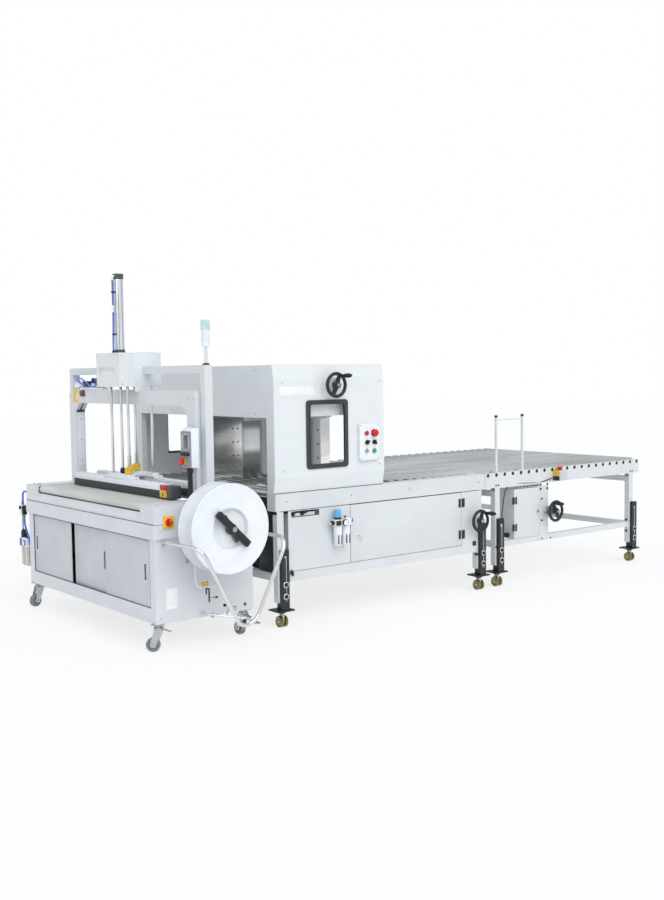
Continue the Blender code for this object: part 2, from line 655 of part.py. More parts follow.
def roller_bed(name, first_x, count, low, high, width):
    """Rollers on thin rails inside the side beams; each roller is a drum."""
    rail_near = low.y + width + GAP
    rail_far = high.y - width - GAP
    shapes = [box(first_x - 0.026, first_x + ROLLER_PITCH * (count - 1) + 0.026, rail_near, rail_near + 0.006,
                  ROLLER_Z - 0.020, ROLLER_Z + 0.010),
              box(first_x - 0.026, first_x + ROLLER_PITCH * (count - 1) + 0.026, rail_far - 0.006, rail_far,
                  ROLLER_Z - 0.020, ROLLER_Z + 0.010)]
    for index in range(count):
        x = first_x + index * ROLLER_PITCH
        shapes.append(round_bar((x, rail_near + 0.003, ROLLER_Z), (x, rail_far - 0.003, ROLLER_Z),
                                ROLLER_RADIUS, 10))
    make(name, STEEL, shapes)


def gate_frame():
    low = GATE_FRAME_LOW
    high = GATE_FRAME_HIGH
    left, right = GATE_LEGS
    adds, cuts = side_beams(low, high, GATE_BEAM_WIDTH)
    adds.append(box(high.x - BEAM_WIDTH, high.x, low.y + GATE_BEAM_WIDTH - SHEET / 2,
                    high.y - GATE_BEAM_WIDTH + SHEET / 2, low.z, high.z))
    cuts.append(box(high.x - BEAM_WIDTH + SHEET, high.x - SHEET, low.y + GATE_BEAM_WIDTH + SHEET,
                    high.y - GATE_BEAM_WIDTH - SHEET, low.z - 0.02, high.z - SHEET))
    leg_adds = []
    leg_cuts = []
    legs = (("near_left", left, low.y + 0.002, 1), ("near_right", right, low.y + 0.002, 1),
            ("far_left", left, high.y - 0.002, -1), ("far_right", right, high.y - 0.002, -1))
    for name, x, y, side in legs:
        shapes, hollows, hub = leg_shapes(x, y, side)
        leg_adds += shapes
        leg_cuts += hollows
        leg_wheel("gate_wheel_" + name, hub)
    # cross tubes and the long tube at the far side
    near = low.y + 0.040
    far = high.y - 0.040
    leg_adds.append(box(left + 0.004, left + 0.042, near, far, 0.262, 0.300))
    leg_adds.append(box(right + 0.004, right + 0.042, near, far, 0.262, 0.300))
    leg_adds.append(box(left + 0.010, right + 0.012, far - 0.006, far + 0.030, 0.262, 0.300))
    # the electrical cabinet under the near beam, open where its door closes it
    cabinet_low = Vector((3.5750, 4.912, 0.256))
    cabinet_high = Vector((5.0400, 5.260, 0.662))
    leg_adds.append(box_between(cabinet_low, cabinet_high))
    leg_adds.append(box(3.5750, 4.016, 4.900, 4.913, 0.256, 0.662))
    leg_adds.append(box(4.940, right + 0.001, 4.900, 4.913, 0.256, 0.662))
    leg_adds.append(box(4.010, 4.945, 4.900, 4.913, 0.256, 0.311))
    leg_cuts.append(box(cabinet_low.x + SHEET, cabinet_high.x - SHEET, cabinet_low.y + SHEET,
                        cabinet_high.y - SHEET, cabinet_low.z + SHEET, 0.650))
    leg_cuts.append(box(4.036, 4.920, 4.880, cabinet_low.y + 0.010, 0.331, 0.640))
    leg_cuts.append(box(3.590, 3.788, 4.880, 4.908, 0.618, 0.655))
    # the bearing and the shaft of the handwheel at the right leg
    wheel = HEIGHT_WHEEL
    leg_adds.append(box(wheel.x - 0.014, wheel.x + 0.014, low.y - 0.016, low.y + 0.005, wheel.z - 0.017,
                        wheel.z + 0.017))
    leg_adds.append(round_bar((wheel.x, low.y - 0.010, wheel.z), (wheel.x, wheel.y - 0.020, wheel.z), 0.010))
    return adds + leg_adds, cuts + leg_cuts


def join_frame(name, parts):
    adds, cuts = parts
    make(name, PAINT, adds, cuts)


def hinged_door(name, x0, x1, y, z0, z1, hinge_x, thick):
    panel = box(x0, x1, y - thick, y, z0, z1)
    make(name, PAINT, [panel], origin=(hinge_x, y - thick, (z0 + z1) / 2))


def cover_outline(face_y, inward):
    """A folded cover seen from its end: its face leans in above the upper and below the lower fold."""
    depth = COVER_DEPTH * inward
    lean = 0.016 * inward
    bottom = GATE_FRAME_HIGH.z + GAP
    return [(face_y + lean, bottom), (face_y, 0.841), (face_y, 1.399), (face_y + lean, GATE_TOP),
            (face_y + depth, GATE_TOP), (face_y + depth, bottom)]


def gate_covers():
    """The near and far covers, each with a window; the near one also carries the handwheel's shaft."""
    for name, face_y, inward in (("near_cover", GATE_FRAME_LOW.y, 1), ("far_cover", GATE_FRAME_HIGH.y, -1)):
        adds = [slab(cover_outline(face_y, inward), 0, GATE_LOW_X, GATE_HIGH_X)]
        wall = face_y + inward * (COVER_DEPTH + 0.01)
        skin = face_y + inward * (SHEET + 0.016)
        low_y, high_y = sorted((skin, wall))
        cuts = [box(GATE_LOW_X + SHEET, GATE_HIGH_X - SHEET, low_y, high_y, 0.770, GATE_TOP - 0.004)]
        low_y, high_y = sorted((face_y - inward * 0.01, wall))
        cuts.append(box(WINDOW_LOW[0], WINDOW_HIGH[0], low_y, high_y, WINDOW_LOW[1], WINDOW_HIGH[1]))
        if inward > 0:
            adds.append(round_bar((3.885, face_y + 0.010, 1.359), (3.885, face_y - 0.014, 1.359), 0.040))
            adds.append(round_bar((3.885, face_y + 0.010, 1.359), (3.885, face_y - 0.046, 1.359), 0.010, 16))
        make(name, PAINT, adds, cuts)


def gate_bridge():
    """The box over the gate between the covers, with four corner posts and two slide rails."""
    near = GATE_FRAME_LOW.y + COVER_DEPTH + GAP
    far = GATE_FRAME_HIGH.y - COVER_DEPTH - GAP
    x0 = GATE_LOW_X + 0.002
    x1 = GATE_HIGH_X - 0.002
    bottom = GATE_FRAME_HIGH.z + GAP
    top = GATE_TOP - 0.002
    rails = []
    for y0 in (near + 0.001, far - 0.033):
        for post_x in (x0 + 0.001, x1 - 0.041):
            rails.append(box(post_x, post_x + 0.040, y0, y0 + 0.032, bottom, GATE_BRIDGE_BOTTOM + 0.060))
    for x in (3.730, 4.160):
        rails.append(round_bar((x, near + 0.001, 1.220), (x, far - 0.001, 1.220), 0.012, 16))
    walls = [box(x0, x1, near, near + SHEET, GATE_BRIDGE_BOTTOM, top),
             box(x0, x1, far - SHEET, far, GATE_BRIDGE_BOTTOM, top),
             box(x0, x0 + SHEET, near, far, GATE_BRIDGE_BOTTOM, top),
             box(x1 - SHEET, x1, near, far, GATE_BRIDGE_BOTTOM, top),
             box(x0, x1, near, far, top - SHEET, top)]
    make("gate_bridge", PAINT, walls + rails)


def side_guides():
    """Polished plates that hang from the bridge's rails and square the bundle from both sides."""
    middle = (GATE_FRAME_LOW.y + GATE_FRAME_HIGH.y) / 2
    for name, side in (("near_side_guide", -1), ("far_side_guide", 1)):
        y = middle + side * GUIDE_OFFSET
        low_y, high_y = sorted((y, y + side * 0.004))
        adds = [box(3.610, 4.278, low_y, high_y, 0.800, 1.168)]
        hang_low, hang_high = sorted((y + side * 0.001, y + side * 0.110))
        cuts = []
        for x in (3.730, 4.160):
            adds.append(box(x - 0.025, x + 0.025, hang_low, hang_high, 1.120, 1.250))
            cuts.append(round_bar((x, hang_low - 0.02, 1.220), (x, hang_high + 0.02, 1.220), 0.0125, 16))
        make(name, STEEL, adds, cuts, origin=(3.945, y, 1.220))


def control_box():
    face = GATE_FRAME_LOW.y - GAP
    front = face - 0.022
    outward = (0, -1, 0)
    buttons = (("stop_button", RED, (4.128, front, 1.072), 0.014, 0.012, False),
               ("gate_emergency_stop", RED, (4.186, front, 1.072), EMERGENCY_RADIUS, 0.028, True),
               ("start_button", GREEN, (4.186, front, 0.966), 0.014, 0.012, False))
    holes = []
    for name, look, spot, radius, height, collar in buttons:
        pushed_button(name, look, spot, outward, radius, height, collar)
        holes.append(button_hole(spot, outward, radius, collar))
    make("control_box", WHITE, [box(4.078, 4.230, face - 0.022, face, 0.912, 1.126)], holes)
    for name, x, z, tilt in (("left_selector", 4.130, 1.018, 30), ("right_selector", 4.186, 1.018, -20)):
        base = turned([(0, 0), (0.014, 0), (0.014, 0.008), (0, 0.008)], (x, front - GAP, z), (0, -1, 0))
        lever = box(-0.0045, 0.0045, front - 0.024, front - 0.006, -0.013, 0.013)
        turn = Matrix.Translation((x, 0, z)) @ Matrix.Rotation(math.radians(tilt), 4, "Y")
        bmesh.ops.transform(lever, matrix=turn, verts=lever.verts)
        make(name, BLACK, [base, lever], origin=(x, front, z))


def handwheel(name, x, y, z, grip_angle, web_angle):
    """A handwheel in the XZ plane: a rim, a straight web through the hub, and a grip to the operator."""
    centre = Vector((x, y, z))
    rim = []
    for step in range(8):
        angle = 2 * math.pi * step / 8
        rim.append((RIM_MIDDLE + RIM_THICKNESS * math.cos(angle), RIM_THICKNESS * math.sin(angle)))
    hub = [(SHAFT_BORE, -0.016), (0.022, -0.016), (0.022, 0.018), (SHAFT_BORE, 0.018)]
    web = box(-RIM_MIDDLE, RIM_MIDDLE, -0.005, 0.005, -0.013, 0.013)
    bore = round_bar(centre - Vector((0, 0.02, 0)), centre + Vector((0, 0.02, 0)), SHAFT_BORE)
    turn = Matrix.Translation(centre) @ Matrix.Rotation(math.radians(-web_angle), 4, "Y")
    bmesh.ops.transform(web, matrix=turn, verts=web.verts)
    angle = math.radians(grip_angle)
    grip = centre + Vector((math.cos(angle), 0, math.sin(angle))) * RIM_MIDDLE
    grip_profile = [(0, 0.004), (0.006, 0.004), (0.007, 0.022), (0.012, 0.028), (0.013, 0.070), (0.009, 0.092), (0, 0.094)]
    adds = [turned(rim, centre, (0, -1, 0), 20), turned(hub, centre, (0, -1, 0)), web,
            turned(grip_profile, grip, (0, -1, 0), 10)]
    make(name, BLACK, adds, [bore], origin=centre)


def gate_air_unit():
    """Filter and lubricator on the cabinet's fixed panel."""
    wall = 4.900 - GAP
    y = wall - 0.035
    adds = [box(3.862, 3.985, y - 0.024, y + 0.024, 0.545, 0.585),
            box(3.900, 3.945, y + 0.010, wall, 0.550, 0.580)]
    for x in (3.893, 3.952):
        adds.append(round_bar((x, y, 0.430), (x, y, 0.550), 0.024, 16))
    adds.append(round_bar((3.893, y, 0.580), (3.893, y, 0.645), 0.020, 16))
    adds.append(round_bar((3.925, y - 0.020, 0.566), (3.925, y - 0.040, 0.566), 0.020, 16))
    adds.append(round_bar((3.840, y, 0.566), (4.005, y, 0.566), 0.009, 12))
    make("gate_air_unit", WHITE, adds)


# Roller table

def table_frame():
    low = TABLE_LOW
    high = TABLE_HIGH
    left, right = TABLE_LEGS
    adds, cuts = side_beams(low, high, BEAM_WIDTH)
    legs = (("near_left", left, low.y + 0.002, 1), ("near_right", right, low.y + 0.002, 1),
            ("far_left", left, high.y - 0.002, -1), ("far_right", right, high.y - 0.002, -1))
    for name, x, y, side in legs:
        shapes, hollows, hub = leg_shapes(x, y, side)
        adds += shapes
        cuts += hollows
        leg_wheel("table_wheel_" + name, hub)
    near = low.y + 0.040
    far = high.y - 0.040
    for x in (left + 0.004, right + 0.004):
        adds.append(box(x, x + 0.038, near, far, 0.262, 0.300))
        adds.append(box(x, x + 0.038, near, far, 0.600, 0.638))
    adds.append(box(left + 0.010, right + 0.012, low.y + 0.008, low.y + 0.046, 0.262, 0.300))
    adds.append(box(left + 0.010, right + 0.012, far - 0.006, far + 0.030, 0.262, 0.300))
    # mounting plate and gearbox of the table's handwheel
    adds.append(box(5.700, 5.790, low.y + 0.010, low.y + 0.016, 0.290, 0.670))
    adds.append(box(5.762, 5.822, low.y - 0.020, low.y + 0.012, 0.435, 0.495))
    adds.append(round_bar((5.790, low.y - 0.019, 0.465), (5.790, low.y - 0.062, 0.465), 0.010, 16))
    # near fence: two straight posts with flanged feet and a thin rail
    for x in (5.286, 5.540):
        adds.append(turned([(0, 0), (0.018, 0), (0.018, 0.006), (0.0095, 0.008), (0.0095, 0.366), (0, 0.366)],
                           (x, 4.922, high.z - 0.002), (0, 0, 1), 12))
    adds.append(round_bar((5.286, 4.922, 1.106), (5.540, 4.922, 1.106), 0.0035, 10))
    # emergency stop box on its bracket at the side beam
    adds.append(box(5.826, 5.900, low.y - 0.062, low.y + 0.002, 0.672, TABLE_STOP[2]))
    cuts.append(button_hole(TABLE_STOP, (0, 0, 1), EMERGENCY_RADIUS, True))
    return adds, cuts


def table_cabinet():
    x0 = 5.435
    x1 = 5.690
    y0 = 4.9125
    y1 = 5.030
    z0 = 0.300 + GAP
    z1 = 0.636
    shell = box(x0, x1, y0, y1, z0, z1)
    hollow = box(x0 + SHEET, x1 - SHEET, y0 - 0.01, y1 - SHEET, z0 + SHEET, z1 - SHEET)
    make("table_cabinet", PAINT, [shell], [hollow])
    hinged_door("table_cabinet_door", x0, x1, y0 - GAP, z0, z1, x0, 0.012)


def build():
    clear_scene()
    strapper_cabinet()
    sliding_doors()
    conveyor_belt()
    sealing_head()
    gantry_frame()
    strap_arch()
    head_box()
    press_cylinder()
    press_yoke()
    press_bars()
    hmi_box()
    pushed_button("pendant_stop_button", RED, PENDANT_STOP, (-1, 0, 0), EMERGENCY_RADIUS, 0.028, collar=True)
    signal_tower()
    main_switch_knob()
    strap_reel()
    reel_clamp()
    reel_guard()
    strapper_air_unit()
    strapper_casters()

    join_frame("gate_frame", gate_frame())
    hinged_door("gate_cabinet_door", 4.018, 4.938, 4.912 - GAP, 0.313, 0.655, 4.938, 0.011)
    gate_covers()
    gate_bridge()
    side_guides()
    control_box()
    handwheel("gate_handwheel", 3.885, 4.848, 1.359, 55, 68)
    gate_air_unit()
    roller_bed("gate_rollers", 3.546, 20, GATE_FRAME_LOW, GATE_FRAME_HIGH, GATE_BEAM_WIDTH)

    join_frame("table_frame", table_frame())
    roller_bed("table_rollers", 5.183, 21, TABLE_LOW, TABLE_HIGH, BEAM_WIDTH)
    table_cabinet()
    handwheel("height_handwheel", *HEIGHT_WHEEL, 50, 75)
    handwheel("table_handwheel", 5.790, 4.840, 0.465, 118, 118)
    pushed_button("table_stop_button", RED, TABLE_STOP, (0, 0, 1), EMERGENCY_RADIUS, 0.028, collar=True)


build()
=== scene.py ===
# In-line strapping machine, squaring gate and roller table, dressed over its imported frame
import math

import bmesh
import bpy
from mathutils import Matrix, Vector


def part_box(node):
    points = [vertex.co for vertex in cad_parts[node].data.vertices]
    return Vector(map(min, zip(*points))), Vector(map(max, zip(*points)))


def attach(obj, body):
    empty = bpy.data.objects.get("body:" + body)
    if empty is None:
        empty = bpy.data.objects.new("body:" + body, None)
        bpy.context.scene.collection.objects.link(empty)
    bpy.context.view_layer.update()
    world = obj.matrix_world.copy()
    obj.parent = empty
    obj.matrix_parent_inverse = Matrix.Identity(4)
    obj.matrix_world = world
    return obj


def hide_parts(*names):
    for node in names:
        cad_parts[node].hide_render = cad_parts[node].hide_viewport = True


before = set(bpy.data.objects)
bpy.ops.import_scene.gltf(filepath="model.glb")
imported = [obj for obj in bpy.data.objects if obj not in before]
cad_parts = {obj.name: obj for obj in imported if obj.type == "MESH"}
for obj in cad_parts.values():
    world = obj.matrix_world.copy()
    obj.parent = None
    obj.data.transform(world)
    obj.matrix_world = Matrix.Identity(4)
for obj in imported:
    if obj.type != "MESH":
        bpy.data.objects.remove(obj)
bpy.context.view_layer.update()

# Each unit has a corner on the floor, at its left edge and its near face. Its pieces are drawn in
# millimetres from that corner: x to the right along the line, y away from the operator, z up.
fits = {"coverDepth": 0.045, "beamToRollers": 0.0443, "gateFoot": 0.013}
strapper = Vector((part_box("strapper_cabinet")[0].x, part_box("gantry_frame")[0].y, 0))
gate = Vector((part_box("gate_frame")[0].x - fits["gateFoot"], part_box("near_cover")[1].y - fits["coverDepth"],
               0))
table = Vector((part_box("table_frame")[0].x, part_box("table_rollers")[0].y - fits["beamToRollers"], 0))


# colours and nodes


def linear(hexCode):
    channels = []
    for start in (1, 3, 5):
        value = int(hexCode[start:start + 2], 16) / 255
        channels.append(value / 12.92 if value <= 0.04045 else ((value + 0.055) / 1.055) ** 2.4)
    return (*channels, 1.0)


def addNode(tree, kind, settings=None, links=None):
    node = tree.nodes.new(kind)
    for name, value in (settings or {}).items():
        if isinstance(name, int) or name in node.inputs:
            node.inputs[name].default_value = value
        else:
            setattr(node, name, value)
    for name, source in (links or {}).items():
        tree.links.new(source, node.inputs[name])
    return node


def startMaterial(name, settings):
    material = bpy.data.materials.new(name)
    material.use_nodes = True
    tree = material.node_tree
    shader = tree.nodes["Principled BSDF"]
    for key, value in settings.items():
        shader.inputs[key].default_value = value
    place = addNode(tree, "ShaderNodeTexCoord").outputs["Object"]
    return material, tree, shader, place


def grain(tree, place, sizeMm, stretch=(1, 1, 1), detail=2.0, rough=0.5):
    # noise whose blotches are about sizeMm across, longer along an axis whose stretch is below 1
    scaled = addNode(tree, "ShaderNodeMapping", {"Scale": stretch}, {"Vector": place})
    wanted = {"Scale": 1000 / sizeMm, "Detail": detail, "Roughness": rough}
    return addNode(tree, "ShaderNodeTexNoise", wanted, {"Vector": scaled.outputs[0]}).outputs["Fac"]


def span(tree, source, low, high, fromLow=0.3, fromHigh=0.7):
    wanted = {1: fromLow, 2: fromHigh, 3: low, 4: high}
    return addNode(tree, "ShaderNodeMapRange", wanted, {0: source}).outputs[0]


def mixColours(tree, factor, first, second):
    node = addNode(tree, "ShaderNodeMix", {"data_type": "RGBA"})
    node.inputs[6].default_value = linear(first)
    node.inputs[7].default_value = linear(second)
    tree.links.new(factor, node.inputs[0])
    return node.outputs[2]


def colourBetween(tree, shader, factor, first, second):
    tree.links.new(mixColours(tree, span(tree, factor, 0, 1), first, second), shader.inputs["Base Color"])


def roughBetween(tree, shader, factor, low, high, *limits):
    tree.links.new(span(tree, factor, low, high, *limits), shader.inputs["Roughness"])


def bumpFrom(tree, shader, height, distanceMm, strength):
    wanted = {"Strength": strength, "Distance": distanceMm / 1000}
    bump = addNode(tree, "ShaderNodeBump", wanted, {"Height": height})
    tree.links.new(bump.outputs[0], shader.inputs["Normal"])


# finishes


def powderCoatedSteel(name, colour, shade, roughness=0.42):
    # Folded sheet steel under a baked polyester powder: satin, with an even orange peel. The peel
    # is about 1 mm across and drawn at 3 mm so that it shows; handling leaves faint duller clouds.
    material, tree, shader, place = startMaterial(name, {"IOR": 1.5, "Specular IOR Level": 0.45})
    clouds = grain(tree, place, 180, detail=3)
    peel = grain(tree, place, 3, detail=1)
    colourBetween(tree, shader, clouds, shade, colour)
    roughBetween(tree, shader, clouds, roughness + 0.06, roughness - 0.04)
    bumpFrom(tree, shader, peel, 0.05, 0.35)
    return material


def brushedStainless(name, colour, shade, along):
    # Stainless sheet with a fine linear brush: stretched highlights and hair lines along one axis.
    # Hair lines are about 0.3 mm apart and drawn at 1.5 mm.
    material, tree, shader, place = startMaterial(name, {"Metallic": 1.0})
    stretch = [1, 1, 1]
    stretch[along] = 0.02
    hair = grain(tree, place, 1.5, stretch, detail=3)
    broad = grain(tree, place, 160, stretch=(1, 1, 1), detail=2)
    colourBetween(tree, shader, hair, shade, colour)
    roughBetween(tree, shader, broad, 0.17, 0.22)
    bumpFrom(tree, shader, hair, 0.02, 0.25)
    return material


def zincPlatedSteel(name, colour, shade, roughness=0.30):
    # Turned or pressed steel, bright zinc plated: blue-grey metal with soft cloudy spangle
    material, tree, shader, place = startMaterial(name, {"Metallic": 1.0})
    spangle = grain(tree, place, 9, detail=3)
    fine = grain(tree, place, 1.5, detail=1)
    colourBetween(tree, shader, spangle, shade, colour)
    roughBetween(tree, shader, spangle, roughness - 0.07, roughness + 0.09)
    bumpFrom(tree, shader, fine, 0.02, 0.15)
    return material


def rollerTube(name):
    # Zinc plated conveyor roller tube, polished by cartons: broad bright bands, about 180 mm along
    # the roller, and scuffs that make it duller in patches
    material, tree, shader, place = startMaterial(name, {"Metallic": 1.0})
    bands = grain(tree, place, 45, stretch=(0.05, 0.25, 0.05), detail=2)
    scuffs = grain(tree, place, 60, detail=4, rough=0.65)
    colourBetween(tree, shader, bands, "#bdbebb", "#e2e2e0")
    roughBetween(tree, shader, scuffs, 0.16, 0.30)
    return material


def chromePlate(name):
    # Hard chrome on ground bar or bent tube: near-mirror, with a very slight waviness
    material, tree, shader, place = startMaterial(name, {"Metallic": 1.0, "Base Color": linear("#dfe0e1")})
    wave = grain(tree, place, 25, detail=2)
    roughBetween(tree, shader, wave, 0.08, 0.17)
    bumpFrom(tree, shader, wave, 0.05, 0.1)
    return material


def anodisedAluminium(name, along=2):
    # Extruded profile, clear anodised: matt silver with die lines along its length, 1 mm apart
    material, tree, shader, place = startMaterial(name, {"Metallic": 1.0})
    stretch = [1, 1, 1]
    stretch[along] = 0.01
    lines = grain(tree, place, 2, stretch, detail=2)
    colourBetween(tree, shader, lines, "#e4e6e8", "#f6f7f7")
    roughBetween(tree, shader, lines, 0.32, 0.42)
    bumpFrom(tree, shader, lines, 0.02, 0.2)
    return material


def mouldedPlastic(name, colour, shade, roughness=0.38, textureMm=2.0):
    # ABS or nylon from a spark-eroded mould: even colour, fine matt texture, drawn at 2 mm
    material, tree, shader, place = startMaterial(name, {"IOR": 1.53})
    fine = grain(tree, place, textureMm, detail=2)
    flow = grain(tree, place, 70, detail=2)
    colourBetween(tree, shader, flow, shade, colour)
    roughBetween(tree, shader, fine, roughness - 0.05, roughness + 0.08)
    bumpFrom(tree, shader, fine, 0.04, 0.3)
    return material


def vulcanisedRubber(name, colour, shade, roughness=0.65):
    # Grey or black rubber: dull, with a dusty bloom in patches and a sandy skin
    material, tree, shader, place = startMaterial(name, {"IOR": 1.52, "Specular IOR Level": 0.35})
    bloom = grain(tree, place, 22, detail=4)
    skin = grain(tree, place, 1.8, detail=2)
    colourBetween(tree, shader, bloom, shade, colour)
    roughBetween(tree, shader, bloom, roughness - 0.1, roughness + 0.12)
    bumpFrom(tree, shader, skin, 0.08, 0.4)
    return material


def beltingPvc(name):
    # PVC conveyor belt over a polyester weave: matt, warm grey, the weave showing as a fine grid.
    # Threads are 1 mm apart and drawn at 5 mm.
    material, tree, shader, place = startMaterial(name, {"IOR": 1.53, "Specular IOR Level": 0.3})
    heights = []
    for direction in ("X", "Y"):
        wanted = {"bands_direction": direction, "Scale": 1000 / 5 / 3.14, "Distortion": 0.3}
        heights.append(addNode(tree, "ShaderNodeTexWave", wanted, {"Vector": place}).outputs["Fac"])
    weave = addNode(tree, "ShaderNodeMath", {"operation": "MULTIPLY"},
                    {0: heights[0], 1: heights[1]}).outputs[0]
    worn = grain(tree, place, 120, stretch=(1, 0.3, 1), detail=4)
    colourBetween(tree, shader, worn, "#c3c2be", "#d8d8d5")
    roughBetween(tree, shader, worn, 0.5, 0.66)
    bumpFrom(tree, shader, weave, 0.1, 0.3)
    return material


def yellowPassivatedSteel(name):
    # Zinc plate with a yellow chromate passivation: gold with greenish and brownish iridescence
    material, tree, shader, place = startMaterial(name, {"Metallic": 1.0})
    film = grain(tree, place, 14, detail=3)
    colourBetween(tree, shader, film, "#6c6340", "#a0966c")
    roughBetween(tree, shader, film, 0.22, 0.36)
    bumpFrom(tree, shader, film, 0.03, 0.15)
    return material


def blackOxideSteel(name):
    # Pressed channel, painted black: satin, rubbed a little lighter in long streaks
    material, tree, shader, place = startMaterial(name, {"IOR": 1.5, "Specular IOR Level": 0.5})
    streaks = grain(tree, place, 12, stretch=(1, 1, 0.15), detail=4)
    fine = grain(tree, place, 2.5, detail=2)
    colourBetween(tree, shader, streaks, "#131415", "#2b2c2e")
    roughBetween(tree, shader, streaks, 0.34, 0.5)
    bumpFrom(tree, shader, fine, 0.05, 0.3)
    return material


def clearPolycarbonate(name, colour, shade):
    # Moulded polycarbonate bowl or lens: glossy and tinted, thicker and darker in slow bands
    material, tree, shader, place = startMaterial(name, {"IOR": 1.58, "Transmission Weight": 0.45,
                                                         "Coat Weight": 0.3, "Coat Roughness": 0.05})
    bands = grain(tree, place, 18, stretch=(1, 1, 2), detail=1)
    colourBetween(tree, shader, bands, shade, colour)
    roughBetween(tree, shader, bands, 0.12, 0.22)
    return material


def polyurethaneHose(name, colour, shade):
    # Extruded polyurethane air tube: glossy, slightly see-through skin with faint draw marks
    material, tree, shader, place = startMaterial(name,
                                                  {"IOR": 1.5, "Coat Weight": 0.4, "Coat Roughness": 0.15})
    marks = grain(tree, place, 6, detail=2)
    colourBetween(tree, shader, marks, shade, colour)
    roughBetween(tree, shader, marks, 0.25, 0.38)
    bumpFrom(tree, shader, marks, 0.03, 0.2)
    return material


def displayGlass(name):
    # Liquid crystal window under acrylic: dark grey-green, faint cell rows, glossy cover
    material, tree, shader, place = startMaterial(name,
                                                  {"IOR": 1.49, "Coat Weight": 0.8, "Coat Roughness": 0.04})
    wanted = {"bands_direction": "Z", "Scale": 1000 / 6 / 3.14}
    rows = addNode(tree, "ShaderNodeTexWave", wanted, {"Vector": place}).outputs["Fac"]
    tree.links.new(mixColours(tree, span(tree, rows, 0, 1, 0, 1), "#363936", "#454945"),
                   shader.inputs["Base Color"])
    roughBetween(tree, shader, rows, 0.18, 0.26, 0, 1)
    return material


def vinylLabel(name, colour, shade):
    # Bare self-adhesive vinyl: smooth and slightly glossy, a little yellowed in patches
    material, tree, shader, place = startMaterial(name, {"IOR": 1.5})
    patches = grain(tree, place, 30, detail=2)
    colourBetween(tree, shader, patches, shade, colour)
    roughBetween(tree, shader, patches, 0.28, 0.4)
    return material


finishes = {
    "paint": powderCoatedSteel("powder_coated_steel", "#dadce0", "#d5d7db"),
    "framePaint": powderCoatedSteel("frame_powder_coat", "#d9ddde", "#d3d7d9"),
    # the doors take the cabinet paint darkened: painted shade on the doors' front faces
    "shadedDoorPaint": powderCoatedSteel("door_powder_coat_painted_shade", "#cbccd0", "#c5c7cb"),
    "palePaint": powderCoatedSteel("pale_powder_coat", "#e3e7e8", "#dee2e4"),
    "white": powderCoatedSteel("white_powder_coat", "#eceff3", "#e6eaef", 0.38),
    "stainless": brushedStainless("brushed_stainless", "#e6e6e4", "#cfcfce", 0),
    "zinc": zincPlatedSteel("zinc_plated_steel", "#cdcfd1", "#aeb1b4"),
    "roller": rollerTube("zinc_plated_roller"),
    "chrome": chromePlate("chrome_plate"),
    "aluminium": anodisedAluminium("anodised_aluminium"),
    "blackPlastic": mouldedPlastic("black_nylon", "#1d1e20", "#161718", 0.42),
    "darkPlastic": mouldedPlastic("dark_grey_abs", "#4d5054", "#414448", 0.4),
    "greyPlastic": mouldedPlastic("grey_abs", "#8f959b", "#868c93", 0.42),
    "whitePlastic": mouldedPlastic("white_abs", "#eef1f5", "#e6eaef", 0.34),
    "redPlastic": mouldedPlastic("red_abs", "#d0201c", "#b81a17", 0.3),
    "yellowPlastic": mouldedPlastic("yellow_abs", "#f0c419", "#e2b20f", 0.34),
    "greenPlastic": mouldedPlastic("green_abs", "#2fae64", "#249355", 0.3),
    "bluePlastic": mouldedPlastic("blue_abs", "#2d62b8", "#2454a3", 0.34),
    "greyRubber": vulcanisedRubber("grey_rubber", "#8b8f93", "#7b7f83", 0.55),
    "darkRubber": vulcanisedRubber("dark_grey_rubber", "#45474a", "#3a3c3f"),
    "blackRubber": vulcanisedRubber("black_rubber", "#1b1c1d", "#262728"),
    "belt": beltingPvc("pvc_belting"),
    "brass": yellowPassivatedSteel("yellow_passivated_steel"),
    "blackSteel": blackOxideSteel("black_painted_steel"),
    "lens": clearPolycarbonate("green_polycarbonate", "#e0f6f0", "#cdebe3"),
    "bowl": clearPolycarbonate("clear_polycarbonate", "#e6e3d3", "#d3cfba"),
    "hose": polyurethaneHose("blue_polyurethane", "#3f74d6", "#3263c0"),
    "cable": polyurethaneHose("black_pvc_cable", "#1a1a1c", "#232326"),
    "display": displayGlass("display_window"),
    "label": vinylLabel("bare_vinyl", "#f4f5f6", "#ebecee"),
    "yellowLabel": vinylLabel("yellow_vinyl", "#f3c61c", "#e6b60f"),
    "skyPlastic": mouldedPlastic("sky_blue_abs", "#6fb9e8", "#5fa9dc", 0.3),
    "palePlastic": mouldedPlastic("pale_grey_abs", "#c9ccd0", "#bfc3c7", 0.36),
    "gearPaint": powderCoatedSteel("grey_green_enamel", "#8fa39c", "#7f938c", 0.36),
}
print("finishes ready:", len(finishes))


# shapes, in millimetres


def block(x0, x1, y0, y1, z0, z1, edge=1.0, steps=2):
    shape = bmesh.new()
    bmesh.ops.create_cube(shape, size=1)
    bmesh.ops.scale(shape, vec=(x1 - x0, y1 - y0, z1 - z0), verts=shape.verts)
    bmesh.ops.translate(shape, vec=((x0 + x1) / 2, (y0 + y1) / 2, (z0 + z1) / 2), verts=shape.verts)
    if edge:
        bmesh.ops.bevel(shape, geom=shape.edges[:], offset=edge, affect="EDGES", segments=steps,
                        profile=0.5,
                        material=-1)
    return shape


